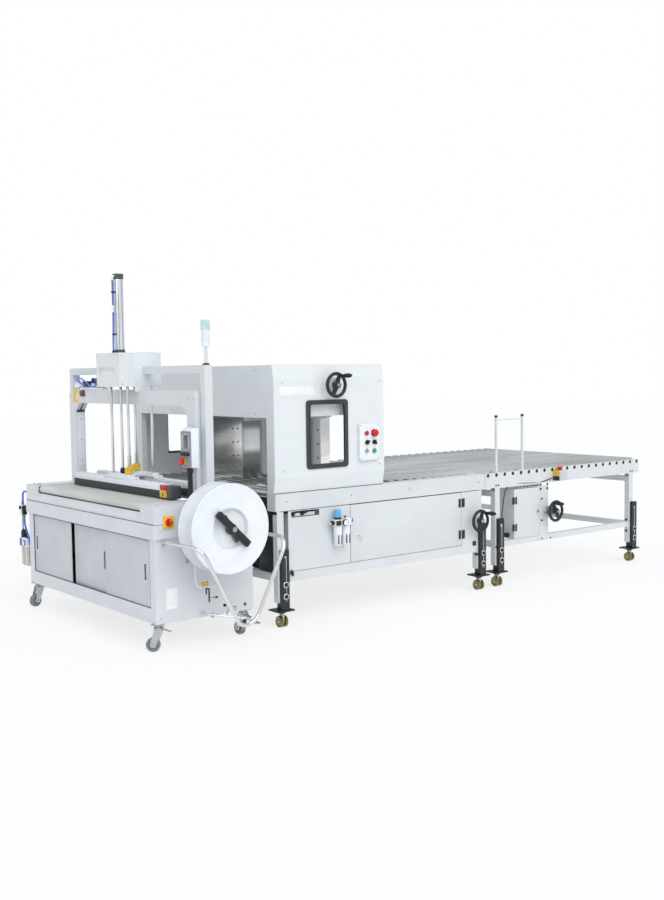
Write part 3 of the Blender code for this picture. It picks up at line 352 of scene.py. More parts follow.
def rod(start, end, radius, edge=0.0, sides=24, endRadius=None):
    start = Vector(start)
    along = Vector(end) - start
    turn = Vector((0, 0, 1)).rotation_difference(along).to_matrix().to_4x4()
    shape = bmesh.new()
    bmesh.ops.create_cone(shape, cap_ends=True, segments=sides, radius1=radius,
                          radius2=radius if endRadius is None else endRadius, depth=along.length,
                          matrix=Matrix.Translation(start + along / 2) @ turn)
    if edge:
        rims = [line for line in shape.edges if any(len(face.verts) == sides for face in line.link_faces)]
        bmesh.ops.bevel(shape, geom=rims, offset=edge, affect="EDGES", segments=2, profile=0.5, material=-1)
    return shape


def spun(outline, centre, axis, sides=32):
    # turns an outline of (radius, distance along the axis) points into a closed round shape
    shape = bmesh.new()
    corners = [shape.verts.new((radius, 0, height)) for radius, height in outline]
    lines = [shape.edges.new(pair) for pair in zip(corners, corners[1:])]
    if outline[0][0] > 0 or outline[-1][0] > 0:
        lines.append(shape.edges.new((corners[-1], corners[0])))
    bmesh.ops.spin(shape, geom=corners + lines, cent=(0, 0, 0), axis=(0, 0, 1), angle=2 * math.pi,
                   steps=sides, use_merge=True)
    bmesh.ops.remove_doubles(shape, verts=shape.verts, dist=0.001)
    bmesh.ops.recalc_face_normals(shape, faces=shape.faces)
    turn = Vector((0, 0, 1)).rotation_difference(Vector(axis)).to_matrix().to_4x4()
    bmesh.ops.transform(shape, matrix=Matrix.Translation(Vector(centre)) @ turn, verts=shape.verts)
    return shape


def ringed(inner, outer, low, high):
    # the outline of a plain ring, or of a disc when its inner radius is 0
    return [(inner, low), (outer, low), (outer, high), (inner, high)]


def plate(outline, axis, low, high, edge=0.0):
    # a flat outline of the two other coordinates, extruded along one axis
    shape = bmesh.new()
    corners = []
    for first, second in outline:
        spot = [first, second]
        spot.insert(axis, low)
        corners.append(shape.verts.new(spot))
    face = shape.faces.new(corners)
    grown = bmesh.ops.extrude_face_region(shape, geom=[face])
    moved = [item for item in grown["geom"] if isinstance(item, bmesh.types.BMVert)]
    shift = Vector((0, 0, 0))
    shift[axis] = high - low
    bmesh.ops.translate(shape, vec=shift, verts=moved)
    bmesh.ops.recalc_face_normals(shape, faces=shape.faces)
    if edge:
        bmesh.ops.bevel(shape, geom=shape.edges[:], offset=edge, affect="EDGES", segments=2, profile=0.5,
                        material=-1)
    return shape


def roundedRectangle(x0, x1, z0, z1, radius, steps=5):
    points = []
    corners = ((x1 - radius, z1 - radius, 0), (x0 + radius, z1 - radius, 90),
               (x0 + radius, z0 + radius, 180), (x1 - radius, z0 + radius, 270))
    for x, z, first in corners:
        for step in range(steps + 1):
            angle = math.radians(first + 90 * step / steps)
            points.append((x + radius * math.cos(angle), z + radius * math.sin(angle)))
    return points


def framePlate(outer, inner, y0, y1):
    # a flat ring between two outlines with as many points, in the plane of a panel
    shape = bmesh.new()
    rings = []
    for outline in (outer, inner):
        corners = [shape.verts.new((x, y0, z)) for x, z in outline]
        rings.append([shape.edges.new(pair) for pair in zip(corners, corners[1:] + corners[:1])])
    bridged = bmesh.ops.bridge_loops(shape, edges=rings[0] + rings[1])
    grown = bmesh.ops.extrude_face_region(shape, geom=bridged["faces"])
    moved = [item for item in grown["geom"] if isinstance(item, bmesh.types.BMVert)]
    bmesh.ops.translate(shape, vec=(0, y1 - y0, 0), verts=moved)
    bmesh.ops.recalc_face_normals(shape, faces=shape.faces)
    return shape


def turned(shape, degrees, axis, centre):
    turn = Matrix.Rotation(math.radians(degrees), 4, axis)
    bmesh.ops.rotate(shape, cent=centre, matrix=turn.to_3x3(), verts=shape.verts)
    return shape


def tilted(shape, degrees, axis, place):
    # turns a shape drawn about the origin, then sets it in its place
    shape = turned(shape, degrees, axis, (0, 0, 0))
    bmesh.ops.translate(shape, vec=place, verts=shape.verts)
    return shape


def gathered(shapes):
    whole = bmesh.new()
    for shape in shapes:
        part = bpy.data.meshes.new("part")
        shape.to_mesh(part)
        shape.free()
        whole.from_mesh(part)
        bpy.data.meshes.remove(part)
    return whole


def enrol(name, data, finish, body, stands):
    # puts the piece in the scene with its finish, the body it rides on and the nodes it stands for
    piece = bpy.data.objects.new(name, data)
    bpy.context.scene.collection.objects.link(piece)
    data.materials.append(finishes[finish])
    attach(piece, body)
    if stands:
        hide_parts(*stands)
    return piece


def finishPiece(name, unit, shapes, finish, body="machine", stands=(), sharp=38):
    shape = gathered(shapes)
    place = Matrix.Translation(unit) @ Matrix.Scale(0.001, 4)
    bmesh.ops.transform(shape, matrix=place, verts=shape.verts)
    mesh = bpy.data.meshes.new(name)
    shape.to_mesh(mesh)
    shape.free()
    mesh.shade_smooth()
    mesh.set_sharp_from_angle(angle=math.radians(sharp))
    return enrol(name, mesh, finish, body, stands)


def roundedRoute(corners, radius, steps=5):
    # a route whose inner corners are short curves
    corners = [Vector(corner) for corner in corners]
    route = [corners[0]]
    for before, corner, after in zip(corners, corners[1:], corners[2:]):
        reach = min(radius, (before - corner).length / 2.1, (after - corner).length / 2.1)
        start = corner + (before - corner).normalized() * reach
        end = corner + (after - corner).normalized() * reach
        for step in range(steps + 1):
            t = step / steps
            route.append(start * (1 - t) ** 2 + corner * 2 * t * (1 - t) + end * t ** 2)
    route.append(corners[-1])
    return route


def tube(name, unit, points, radius, finish, body="machine", stands=(), smooth=4):
    curve = bpy.data.curves.new(name, "CURVE")
    curve.dimensions = "3D"
    curve.bevel_depth = radius / 1000
    curve.bevel_resolution = smooth
    curve.use_fill_caps = True
    spline = curve.splines.new("POLY")
    spline.points.add(len(points) - 1)
    for knot, point in zip(spline.points, points):
        knot.co = (*(unit + Vector(point) / 1000), 1)
    spline.use_smooth = True
    return enrol(name, curve, finish, body, stands)


def helix(centre, radius, bottom, top, turns, perTurn=14):
    points = []
    for step in range(turns * perTurn + 1):
        angle = 2 * math.pi * step / perTurn
        height = bottom + (top - bottom) * step / (turns * perTurn)
        points.append((centre[0] + radius * math.cos(angle), centre[1] + radius * math.sin(angle), height))
    return points


def domeScrew(spot, axis, radius=5.0, height=2.4):
    outline = [(0, 0), (radius, 0), (radius * 0.92, height * 0.55), (radius * 0.6, height),
               (radius * 0.45, height), (radius * 0.40, height * 0.45), (0, height * 0.45)]
    return spun(outline, spot, axis, 14)


def hexBolt(spot, axis, radius=8.0, height=5.5):
    spot = Vector(spot)
    along = Vector(axis).normalized()
    washer = rod(spot, spot + along * 1.6, radius * 1.35, 0.3, 20)
    head = rod(spot + along * 1.5, spot + along * (1.6 + height), radius, 0.6, 6)
    return gathered([washer, head])


feeds = {}  # free hoses and cables, declared at the end
toFront, toBack, toLeft, upright = (0, -1, 0), (0, 1, 0), (-1, 0, 0), (0, 0, 1)


# floor, lights and camera

studio = {
    "floorSize": 60.0, "floorColour": "#f8f8f8", "floorGlow": 0.74, "worldStrength": 0.78,
    "keyStrength": 1.27, "keyFrom": (-0.15, -1.0, 0.95), "keySoftness": 50,
    "fillStrength": 0.2, "fillFrom": (-1.0, -0.4, 0.5), "fillSoftness": 80,
    "cameraPlace": (-4.7335, -5.56625, 1.426), "cameraYaw": 38.43, "cameraPitch": 4.04, "cameraRoll": -0.77,
    "lens": 43.46, "sensor": 36.0,
}


def seenDirectly(tree):
    # 1 for rays from the camera, and for those that metal and glass send on
    rays = addNode(tree, "ShaderNodeLightPath")
    either = addNode(tree, "ShaderNodeMath", {"operation": "MAXIMUM"},
                     {0: rays.outputs["Is Camera Ray"], 1: rays.outputs["Is Glossy Ray"]}).outputs[0]
    return addNode(tree, "ShaderNodeMath", {"operation": "MAXIMUM"},
                   {0: either, 1: rays.outputs["Is Transmission Ray"]}).outputs[0]


def paleFloor(name):
    # Seamless painted board: it keeps the shadow and fades to the white behind it
    material = bpy.data.materials.new(name)
    material.use_nodes = True
    tree = material.node_tree
    tree.nodes.clear()
    board = addNode(tree, "ShaderNodeBsdfDiffuse", {"Color": linear(studio["floorColour"])})
    glow = addNode(tree, "ShaderNodeEmission", {"Color": linear("#ffffff"), "Strength": 1.0})
    share = addNode(tree, "ShaderNodeMath", {"operation": "MULTIPLY", 1: studio["floorGlow"]},
                    {0: seenDirectly(tree)}).outputs[0]
    both = addNode(tree, "ShaderNodeMixShader", None, {0: share, 1: board.outputs[0], 2: glow.outputs[0]})
    addNode(tree, "ShaderNodeOutputMaterial", None, {"Surface": both.outputs[0]})
    return material


def makeFloor():
    shape = bmesh.new()
    bmesh.ops.create_grid(shape, x_segments=1, y_segments=1, size=studio["floorSize"] / 2)
    mesh = bpy.data.meshes.new("floor")
    shape.to_mesh(mesh)
    shape.free()
    floor = bpy.data.objects.new("floor", mesh)
    mesh.materials.append(paleFloor("pale_floor"))
    bpy.context.scene.collection.objects.link(floor)


def makeLights():
    world = bpy.data.worlds.new("studio")
    bpy.context.scene.world = world
    world.use_nodes = True
    tree = world.node_tree
    tree.nodes.clear()
    lit = addNode(tree, "ShaderNodeBackground", {"Color": linear("#f2f6fb"),
                                                 "Strength": studio["worldStrength"]})
    shown = addNode(tree, "ShaderNodeBackground", {"Color": linear("#ffffff"), "Strength": 1.0})
    rays = addNode(tree, "ShaderNodeLightPath")
    either = addNode(tree, "ShaderNodeMath", {"operation": "MAXIMUM"},
                     {0: rays.outputs["Is Camera Ray"], 1: rays.outputs["Is Transmission Ray"]}).outputs[0]
    both = addNode(tree, "ShaderNodeMixShader", None, {0: either, 1: lit.outputs[0], 2: shown.outputs[0]})
    addNode(tree, "ShaderNodeOutputWorld", None, {"Surface": both.outputs[0]})
    for name in ("key", "fill"):
        lamp = bpy.data.lights.new(name, "SUN")
        lamp.energy = studio[name + "Strength"]
        lamp.angle = math.radians(studio[name + "Softness"])
        item = bpy.data.objects.new(name, lamp)
        item.rotation_mode = "QUATERNION"
        item.rotation_quaternion = Vector(upright).rotation_difference(Vector(studio[name + "From"]))
        bpy.context.scene.collection.objects.link(item)


def makeCamera():
    data = bpy.data.cameras.new("camera")
    data.sensor_fit = "AUTO"
    data.sensor_width = studio["sensor"]
    data.lens = studio["lens"]
    data.clip_end = 200
    camera = bpy.data.objects.new("camera", data)
    yaw = Matrix.Rotation(math.radians(-studio["cameraYaw"]), 4, "Z")
    pitch = Matrix.Rotation(math.radians(90 - studio["cameraPitch"]), 4, "X")
    roll = Matrix.Rotation(math.radians(studio["cameraRoll"]), 4, "Z")
    camera.matrix_world = Matrix.Translation(studio["cameraPlace"]) @ yaw @ pitch @ roll
    bpy.context.scene.collection.objects.link(camera)
    bpy.context.scene.camera = camera


makeFloor()
makeLights()
makeCamera()
bpy.context.scene.view_settings.view_transform = "Standard"
print("floor, lights and camera ready")


# finishes of the CAD parts whose shape stays

carried = {
    "paint": ("strapper_cabinet",),
    "framePaint": ("gantry_frame", "strap_arch", "gate_frame", "table_frame", "table_cabinet"),
    "palePaint": ("head_box", "near_cover", "far_cover", "gate_bridge"),
    "zinc": ("sealing_head",),
}
for finish, nodes in carried.items():
    for node in nodes:
        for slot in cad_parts[node].material_slots:
            slot.material = finishes[finish]
print("carried parts finished:", sum(len(nodes) for nodes in carried.values()))


# strapper: doors, belt and cabinet trim

doorway = {
    "bottom": 215, "top": 595, "front": 16.3, "back": 26.3, "thick": 6,
    "doors": {  # near edge, far edge, middle of the pull, finish of the pull's rim and cup
        "right_sliding_door": (42, 572, 119, "chrome", "darkPlastic"),
        "left_sliding_door": (1004, 1552, 1485, "aluminium", "darkRubber"),
        "middle_sliding_door": (547, 976, 594, "greyPlastic", "darkPlastic"),
    },
    # the last entry is the depth of the dark strips that paint the doorway's shadow lines
    "pullMiddle": 410, "rimHalf": (15, 52), "cupHalf": (10, 45), "shadeStripDepth": (12.6, 15.2),
}


def makeDoors():
    d = doorway
    for door, (near, far, pull, rimFinish, cupFinish) in d["doors"].items():
        face = d["back"] if door.startswith("middle") else d["front"]
        panel = block(face, face + d["thick"], near, far, d["bottom"], d["top"], 1.5)
        lip = block(face - 0.1, face + 3, far - 3, far, d["bottom"] + 6, d["top"] - 6, 0.6)
        finishPiece(door + "_panel", strapper, [panel, lip], "shadedDoorPaint", door, [door])
        sideHalf, highHalf = d["rimHalf"]
        cupSide, cupHigh = d["cupHalf"]
        middle = d["pullMiddle"]
        outer = roundedRectangle(pull - sideHalf, pull + sideHalf, middle - highHalf, middle + highHalf, 6)
        inner = roundedRectangle(pull - cupSide, pull + cupSide, middle - cupHigh, middle + cupHigh, 4)
        rim = turned(framePlate(outer, inner, -2.2, 0.2), 90, "Z", (0, 0, 0))
        bmesh.ops.scale(rim, vec=(-1, 1, 1), verts=rim.verts)
        bmesh.ops.recalc_face_normals(rim, faces=rim.faces)
        bmesh.ops.translate(rim, vec=(face, 0, 0), verts=rim.verts)
        finishPiece(door + "_pull_rim", strapper, [rim], rimFinish, door)
        cup = block(face - 1.4, face + 0.3, pull - cupSide, pull + cupSide, middle - cupHigh,
                    middle + cupHigh, 0.2)
        lip = block(face - 2.0, face, pull - cupSide * 0.9, pull - cupSide * 0.6, middle - cupHigh,
                    middle + cupHigh, 0.3)
        finishPiece(door + "_pull_cup", strapper, [cup, lip], cupFinish, door)
    # dark strips round the doorway: painted shadow along the door tracks and the opening's edges
    shadeStripBlocks = [block(*d["shadeStripDepth"], 66, 1527, z, z + 3.4, 0.4) for z in (227.2, 579.4)]
    shadeStripBlocks += [block(*d["shadeStripDepth"], y, y + 3, 230, 580, 0.4) for y in (65.4, 1524.6)]
    finishPiece("doorway_painted_shade", strapper, shadeStripBlocks, "darkRubber")


beltDrive = {
    "front": 24, "back": 290, "top": 760, "radius": 20, "thick": 3, "near": 158.5, "far": 1445.5,
    "rollerRadius": 16.4, "plateThick": 11, "shaftRadius": 6,
}


def stadium(x0, x1, middle, radius, steps=10):
    points = []
    for centre, first in ((x1, -90), (x0, 90)):
        for step in range(steps + 1):
            angle = math.radians(first + 180 * step / steps)
            points.append((centre + radius * math.cos(angle), middle + radius * math.sin(angle)))
    return points


def makeBelt():
    b = beltDrive
    middle = b["top"] - b["radius"]
    x0 = b["front"] + b["radius"]
    x1 = b["back"] - b["radius"]
    outer = stadium(x0, x1, middle, b["radius"])
    inner = stadium(x0, x1, middle, b["radius"] - b["thick"])
    splice = block(x0 + 60, x0 + 66, b["near"], b["far"], b["top"] - 0.5, b["top"] + 0.4, 0)
    finishPiece("belt_loop", strapper, [framePlate(outer, inner, b["near"], b["far"]), splice], "belt",
                stands=["conveyor_belt"])
    rollers = []
    bearings = []
    bolts = []
    for x in (x0, x1):
        rollers.append(rod((x, b["near"] - 4, middle), (x, b["far"] + 4, middle), b["rollerRadius"], 1, 32))
        rollers.append(rod((x, b["near"] - 13, middle), (x, b["far"] + 13, middle), b["shaftRadius"], 0.5,
                           16))
    for near in (b["near"] - b["plateThick"] - 1.6, b["far"] + 1.6):
        far = near + b["plateThick"]
        bearings.append(block(x0 - 20, x0 + 26, near, far, middle - 19, middle + 17, 2))
        bearings.append(block(x1 - 22, x1 + 22, near, far, middle - 19, middle + 17, 2))
        bolts.append(hexBolt((x0 - 19.5, (near + far) / 2, middle), toLeft, 4, 3))
    finishPiece("belt_rollers", strapper, rollers, "aluminium")
    finishPiece("belt_bearings", strapper, bearings, "blackSteel")
    finishPiece("belt_adjusters", strapper, bolts, "zinc")


trim = {
    "nearFace": 12, "label": (73, 141, 220, 329), "hole": (558, 181, 9),
    "switch": (86, -8, 676), "sideBoxTop": 763, "sideBoxes": ((12, 133), (1471, 1592)),
}


def makeCabinetTrim():
    t = trim
    face = t["nearFace"]
    x0, x1, z0, z1 = t["label"]
    finishPiece("side_plate_blank", strapper, [block(x0, x1, face - 0.8, face - 0.1, z0, z1, 0.2)], "label")
    x, z, radius = t["hole"]
    grommet = spun([(0, 0.2), (radius * 0.6, 0.2), (radius * 0.65, 2.0), (radius, 1.4), (radius, 0.1),
                    (0, 0.1)],
                   (x, face, z), toFront, 20)
    # the strap's outlet: a hooked slot, and the pin that stops it
    hook = [block(327, 336, face - 0.9, face - 0.1, 224, 303, 0.2),
            block(310, 336, face - 1.1, face - 0.1, 294, 303, 0.2),
            block(310, 318, face - 0.9, face - 0.1, 268, 303, 0.2)]
    pin = rod((374, face, 246), (374, face - 12, 246), 5, 1, 16)
    finishPiece("strap_outlet", strapper, hook + [grommet, pin], "blackPlastic")
    finishPiece("outlet_mark", strapper, [block(338, 368, face - 0.8, face - 0.1, 244.5, 247.5, 0.2)],
                "redPlastic")
    screws = []
    for low, high in t["sideBoxes"]:
        for x in (30, 590):
            for y in (low, high):
                screws.append(domeScrew((x, y, t["sideBoxTop"]), upright, 4.5, 2))
    for x, y in ((40, 1500), (70, 1540), (40, 1560)):
        screws.append(hexBolt((x, y, t["sideBoxTop"]), upright, 5, 5))
    for x in (40, 300, 560):
        for z in (178, 628):
            screws.append(domeScrew((x, face if z < 500 else 0, z), toFront, 4, 1.8))
    finishPiece("cabinet_screws", strapper, screws, "zinc")
    # dark strips painted as shade where the tray meets the cabinet
    trayShadeLines = [block(4.2, 5.8, 1, 1603, 665.1, 668, 0.3), block(6, 60, -0.6, -0.1, 664.4, 666.4, 0.1)]
    finishPiece("tray_painted_shade_line", strapper, trayShadeLines, "darkRubber")
    x, y, z = t["switch"]
    yellow = plate(roundedRectangle(x - 32, x + 32, z - 32, z + 32, 3), 1, y - 0.9, y + 0.5)
    ring = spun([(0, 0), (27, 0), (27, 2.4), (24, 3.2), (0, 3.2)], (x, y - 0.6, z), toFront, 32)
    finishPiece("main_switch_plate", strapper, [yellow, ring], "yellowPlastic")
    knob = spun([(0, 0.6), (21, 0.6), (21, 6), (19, 9), (0, 9)], (x, y, z), toFront, 32)
    grip = block(x - 6, x + 6, y - 23.5, y - 5, z - 19, z + 19, 3, 3)
    mark = block(x - 1, x + 1, y - 24, y - 22, z + 6, z + 17, 0.3)
    finishPiece("main_switch_grip", strapper, [knob, grip], "redPlastic", "main_switch_knob",
                ["main_switch_knob"])
    finishPiece("main_switch_mark", strapper, [mark], "whitePlastic", "main_switch_knob")


makeDoors()
makeBelt()
makeCabinetTrim()
print("strapper doors, belt and trim made")


# strapper: arch, gantry and press

archTrim = {"front": 297, "back": 357, "near": 52.5, "far": 1572.5, "leg": 88, "bottom": 764,
            "innerTop": 1213}


def makeArchTrim():
    a = archTrim
    nearWall = a["near"] + a["leg"]
    farWall = a["far"] - a["leg"]
    flaps = []
    tips = []
    screws = []
    for wall, inward in ((nearWall, 1), (farWall, -1)):
        y0, y1 = sorted((wall + inward * 0.4, wall + inward * 4.5))
        flaps.append(block(a["front"] + 6, a["back"] - 6, y0, y1, a["bottom"] + 60, a["innerTop"] - 8, 1))
        y0, y1 = sorted((wall + inward * 0.3, wall + inward * 11))
        tips.append(block(a["front"] + 3, a["back"] - 3, y0, y1, a["bottom"] + 2, a["bottom"] + 46, 1.5))
        tips.append(block(a["front"] + 3, a["back"] - 3, y0, wall + inward * 6 if inward > 0 else y1,
                          a["innerTop"] - 6, a["innerTop"] + 1, 1))
        for z in (900, 1030, 1160):
            screws.append(domeScrew((a["front"] + 30, wall + inward * 4.4, z), (0, inward, 0), 5, 2))
    finishPiece("track_flaps", strapper, flaps, "white")
    finishPiece("track_flap_ends", strapper, tips, "blackPlastic")
    for y in (a["near"] + 22, a["near"] + 66, a["far"] - 66, a["far"] - 22):
        for z in (800, 1300):
            screws.append(domeScrew((a["front"], y, z), toLeft, 5, 2))
    finishPiece("arch_screws", strapper, screws, "zinc")
    tag = block(a["front"] - 0.9, a["front"] - 0.1, 1447, 1516, 1265, 1340, 0.2)
    finishPiece("arch_tag", strapper, [tag], "yellowLabel")
    blank = block(a["front"] - 1.1, a["front"] - 0.8, 1452, 1468, 1282, 1322, 0.1)
    finishPiece("arch_tag_field", strapper, [blank], "label")
    sensor = [block(a["front"] - 16, a["front"] - 0.2, 1352, 1396, 1304, 1342, 2)]
    finishPiece("arch_sensor", strapper, sensor, "darkPlastic")
    lamp = block(a["front"] - 17.5, a["front"] - 14, 1354, 1394, 1330, 1341, 1)
    finishPiece("arch_sensor_top", strapper, [lamp], "redPlastic")


valves = {"x": 300, "y": 1180, "z": 1372}


def makeValves():
    # the solenoid valves that stand in the gap under the gantry beam, far side
    v = valves
    x, y, z = v["x"], v["y"], v["z"]
    base = [block(x, x + 44, y - 60, y + 210, z - 24, z - 12, 1.5)]
    for step in range(3):
        base.append(block(x + 4, x + 40, y + 8 + step * 34, y + 34 + step * 34, z - 12, z + 14, 2))
    finishPiece("valve_bodies", strapper, base, "aluminium")
    coils = [block(x + 6, x + 36, y + 11 + step * 34, y + 31 + step * 34, z + 14, z + 44,
                   2.5) for step in range(3)]
    coils += [block(x - 6, x + 30, y - 50, y, z - 11, z + 30, 3),
              block(x - 3, x + 30, y + 116, y + 200, z - 11, z + 26, 3)]
    finishPiece("valve_coils", strapper, coils, "blackPlastic")
    silencer = spun([(0, 0), (20, 0), (22, 4), (22, 40), (18, 46), (0, 46)], (x + 20, y + 250, z + 4),
                    (-0.5, 0.5, 0), 24)
    arm = block(x + 8, x + 30, y + 190, y + 250, z - 22, z - 14, 1)
    finishPiece("valve_silencer", strapper, [silencer, arm], "aluminium")
    routes = {
        "a": [(x - 8, y - 30, z + 6), (x - 26, y + 30, z - 14), (x - 24, y + 130, z + 30),
              (x - 6, y + 260, z + 52),
              (x + 22, y + 330, z + 50)],
        "b": [(x - 5, y + 150, z + 4), (x - 24, y + 180, z + 8), (x - 10, y + 250, z + 40),
              (x + 16, y + 345, z + 36)],
        "c": [(x + 2, y + 30, z + 4), (x - 12, y + 10, z + 40), (x - 6, y - 80, z + 48),
              (x + 2, y - 240, z + 50)],
    }
    for name, route in routes.items():
        tube("valve_hose_" + name, strapper, roundedRoute(route, 60), 5, "hose")


makeArchTrim()
makeValves()

pressHead = {
    "box": (177, 442, 662, 942, 1365, 1555), "plate": (720, 905, 1432, 1478),
    "cylinder": (256.5, 802), "tubeHalf": 22.5, "tubeTop": 1978, "capTop": 2009,
}


def makeHead():
    h = pressHead
    x0, x1, y0, y1, z0, z1 = h["box"]
    ya, yb, za, zb = h["plate"]
    blank = block(x0 - 1.4, x0 - 0.1, ya, yb, za, zb, 0.5)
    finishPiece("head_name_blank", strapper, [blank], "aluminium")
    screws = [domeScrew((x0, y, z), toLeft, 4, 2) for y in (y0 + 16, y1 - 16) for z in (z0 + 16, z1 - 16)]
    screws += [domeScrew((x, y0, z), toFront, 4, 2) for x in (x0 + 18, x0 + 118,
                                                              x1 - 14) for z in (z0 + 18, z1 - 16)]
    screws += [rod((x0 - 1.5, y, (za + zb) / 2), (x0 - 2.4, y, (za + zb) / 2), 2.4, 0.3,
                   12) for y in (ya + 6, yb - 6)]
    finishPiece("head_screws", strapper, screws, "zinc")
    lid = block(x0 - 1.2, x1 + 1.2, y0 - 1.2, y1 + 1.2, z1 + 0.1, z1 + 3.0, 0.8)
    skirt = block(x0 + 96, x1 + 1.6, y0 - 1.8, y0 - 0.2, z0 + 2, z1 - 2, 0.5)
    bulge = plate([(x0 + 96, z0 + 2), (x0 + 96, z0 - 22), (x0 + 104, z0 - 30), (x1 - 66, z0 - 30),
                   (x1 - 66, z0 + 2)],
                  1, y0 + 0.4, y0 + 3.4, 0.6)
    finishPiece("head_lid", strapper, [lid, skirt, bulge], "palePaint")
    x, y = h["cylinder"]
    half = h["tubeHalf"]
    grooves = []
    body = block(x - half, x + half, y - half, y + half, z1 + 22, h["tubeTop"], 2.5)
    for side in (-1, 1):
        for offset in (-11, 11):
            grooves.append(block(x + side * half - 0.6, x + side * half + 0.6, y + offset - 2.2,
                                 y + offset + 2.2,
                                 z1 + 24, h["tubeTop"] - 2, 0.2))
            grooves.append(block(x + offset - 2.2, x + offset + 2.2, y + side * half - 0.6,
                                 y + side * half + 0.6,
                                 z1 + 24, h["tubeTop"] - 2, 0.2))
    finishPiece("cylinder_tube", strapper, [body], "aluminium", stands=["press_cylinder"])
    finishPiece("cylinder_grooves", strapper, grooves, "greyPlastic")
    caps = [block(x - 24, x + 24, y - 24, y + 24, h["tubeTop"], h["capTop"], 2.5),
            block(x - 24, x + 24, y - 24, y + 24, z1 + 3.2, z1 + 22, 2.5)]
    finishPiece("cylinder_caps", strapper, caps, "darkPlastic")
    ties = [hexBolt((x + a, y + b, h["capTop"] - 5), upright, 3.6,
                    3.2) for a in (-16, 16) for b in (-16, 16)]
    finishPiece("cylinder_ties", strapper, ties, "zinc")
    elbow = [rod((x - 23, y, 1994), (x - 40, y, 1994), 7.5, 1, 20),
             rod((x - 36, y, 1998), (x - 36, y, 1972), 7.5, 1, 20)]
    finishPiece("cylinder_fitting", strapper, elbow, "whitePlastic")
    joint = [rod((x - 34, y + 4, 1790), (x - 34, y + 4, 1830), 6, 1, 16)]
    finishPiece("hose_joint", strapper, joint, "whitePlastic")
    # the air hose is clipped down the cylinder and enters the lid through a bulkhead fitting
    route = [(x - 36, y, 1973), (x - 36, y, 1900), (x - 33, y + 4, 1830), (x - 34, y + 5, 1700),
             (x - 38, y + 3, 1620),
             (x - 38, y + 2, 1560)]
    tube("cylinder_hose", strapper, roundedRoute(route, 40), 4.5, "hose")
    clips = [block(x - 40, x - 22, y - 6, y + 12, z, z + 9, 1) for z in (1660, 1900)]
    clips.append(rod((x - 38, y + 2, 1558), (x - 38, y + 2, 1572), 8, 1, 20))
    finishPiece("hose_clips", strapper, clips, "blackPlastic")


press = {
    "low": 840.3, "high": 865.3, "rods": (247, 399), "spread": 100, "rodRadius": 8, "rodTop": 1535,
    "piston": 256.5, "pistonTop": 1575, "middle": 802, "barNear": 230, "barFar": 1374, "barHalf": 28,
    "padTop": 806, "barTop": 840, "padBottom": 764,
}


def makePress():
    p = press
    y = p["middle"]
    rods = []
    collars = []
    for x in p["rods"]:
        for side in (-1, 1):
            rodY = y + side * p["spread"]
            rods.append(rod((x, rodY, p["high"] - 4), (x, rodY, p["rodTop"]), p["rodRadius"], 1, 32))
            collars.append(rod((x, rodY, p["high"]), (x, rodY, p["high"] + 6), 13, 1, 24))
    rods.append(rod((p["piston"], y, p["high"]), (p["piston"], y, p["pistonTop"]), p["rodRadius"], 1, 32))
    finishPiece("guide_rods", strapper, rods, "chrome", "press", ["press_yoke"])
    plates = []
    for x in p["rods"]:
        plates.append(block(x - 30, x + 30, y - 160, y + 160, p["low"], p["high"] - 13, 1.5))
        plates.append(block(x - 22, x + 22, y - 130, y + 130, p["high"] - 13, p["high"], 2))
    plates.append(block(p["rods"][0] + 20, p["rods"][1] - 20, y - 40, y + 40, p["low"] + 3, p["high"] - 3,
                        1.5))
    bolts = []
    for x in p["rods"]:
        for offset in (-145, -60, 60, 145):
            bolts.append(hexBolt((x + 14, y + offset, p["high"] - 13), upright, 5, 4))
    finishPiece("press_plates", strapper, plates, "white", "press")
    finishPiece("press_bolts", strapper, bolts + collars, "zinc", "press")
    # shock absorbers: a spring over a yellow clamp on two of the guide rods
    for index, (x, side) in enumerate(((p["rods"][0], -1), (p["rods"][1], 1))):
        rodY = y + side * p["spread"]
        clamp = [spun([(8.4, 0), (21, 0), (23, 2), (23, 9), (19, 12), (19, 20), (23, 23), (23, 34),
                       (21, 36), (8.4, 36)],
                      (x, rodY, p["high"] + 6), upright, 28),
                 block(x - 27, x - 12, rodY - 9, rodY + 9, p["high"] + 8, p["high"] + 40, 2)]
        finishPiece("rod_clamp_" + str(index + 1), strapper, clamp, "yellowPlastic", "press")
        points = helix((x, rodY), 13, p["high"] + 43, p["high"] + 104, 6)
        tube("rod_spring_" + str(index + 1), strapper, points, 1.4, "zinc", "press", smooth=2)
    bulb = spun([(8.4, 0), (12, 0), (15, 6), (16, 16), (13, 26), (10, 32), (8.4, 33)],
                (p["piston"], y, p["high"] + 0.4), upright, 24)
    finishPiece("piston_bumper", strapper, [bulb], "blackRubber", "press")
    for node, x in (("front_press_bar", p["rods"][0]), ("back_press_bar", p["rods"][1])):
        half = p["barHalf"]
        channel = [block(x - half + 3, x + half, p["barNear"] + 30, p["barFar"], p["padTop"] + 2,
                         p["barTop"], 2),
                   block(x - half, x - half + 6, p["barNear"] + 30, p["barFar"], p["padTop"] - 2,
                         p["barTop"] - 9, 1)]
        finishPiece(node + "_channel", strapper, channel, "white", "press", [node])
        pad = [block(x - half, x + half, p["barNear"], p["barFar"], p["padBottom"], p["padTop"] + 2, 2.5),
               block(x - half + 2, x + half - 2, p["barNear"] + 0.5, p["barNear"] + 32, p["padTop"],
                     p["barTop"] - 4, 2)]
        finishPiece(node + "_pad", strapper, pad, "darkRubber", "press")
        screws = []
        for step in range(7):
            spotY = p["barNear"] + 60 + step * 172
            screws.append(domeScrew((x + 4, spotY, p["barTop"]), upright, 5, 2.2))
        finishPiece(node + "_screws", strapper, screws, "zinc", "press")


interlock = {"front": 213, "back": 275, "near": 180, "far": 231, "bottom": 766, "top": 836}


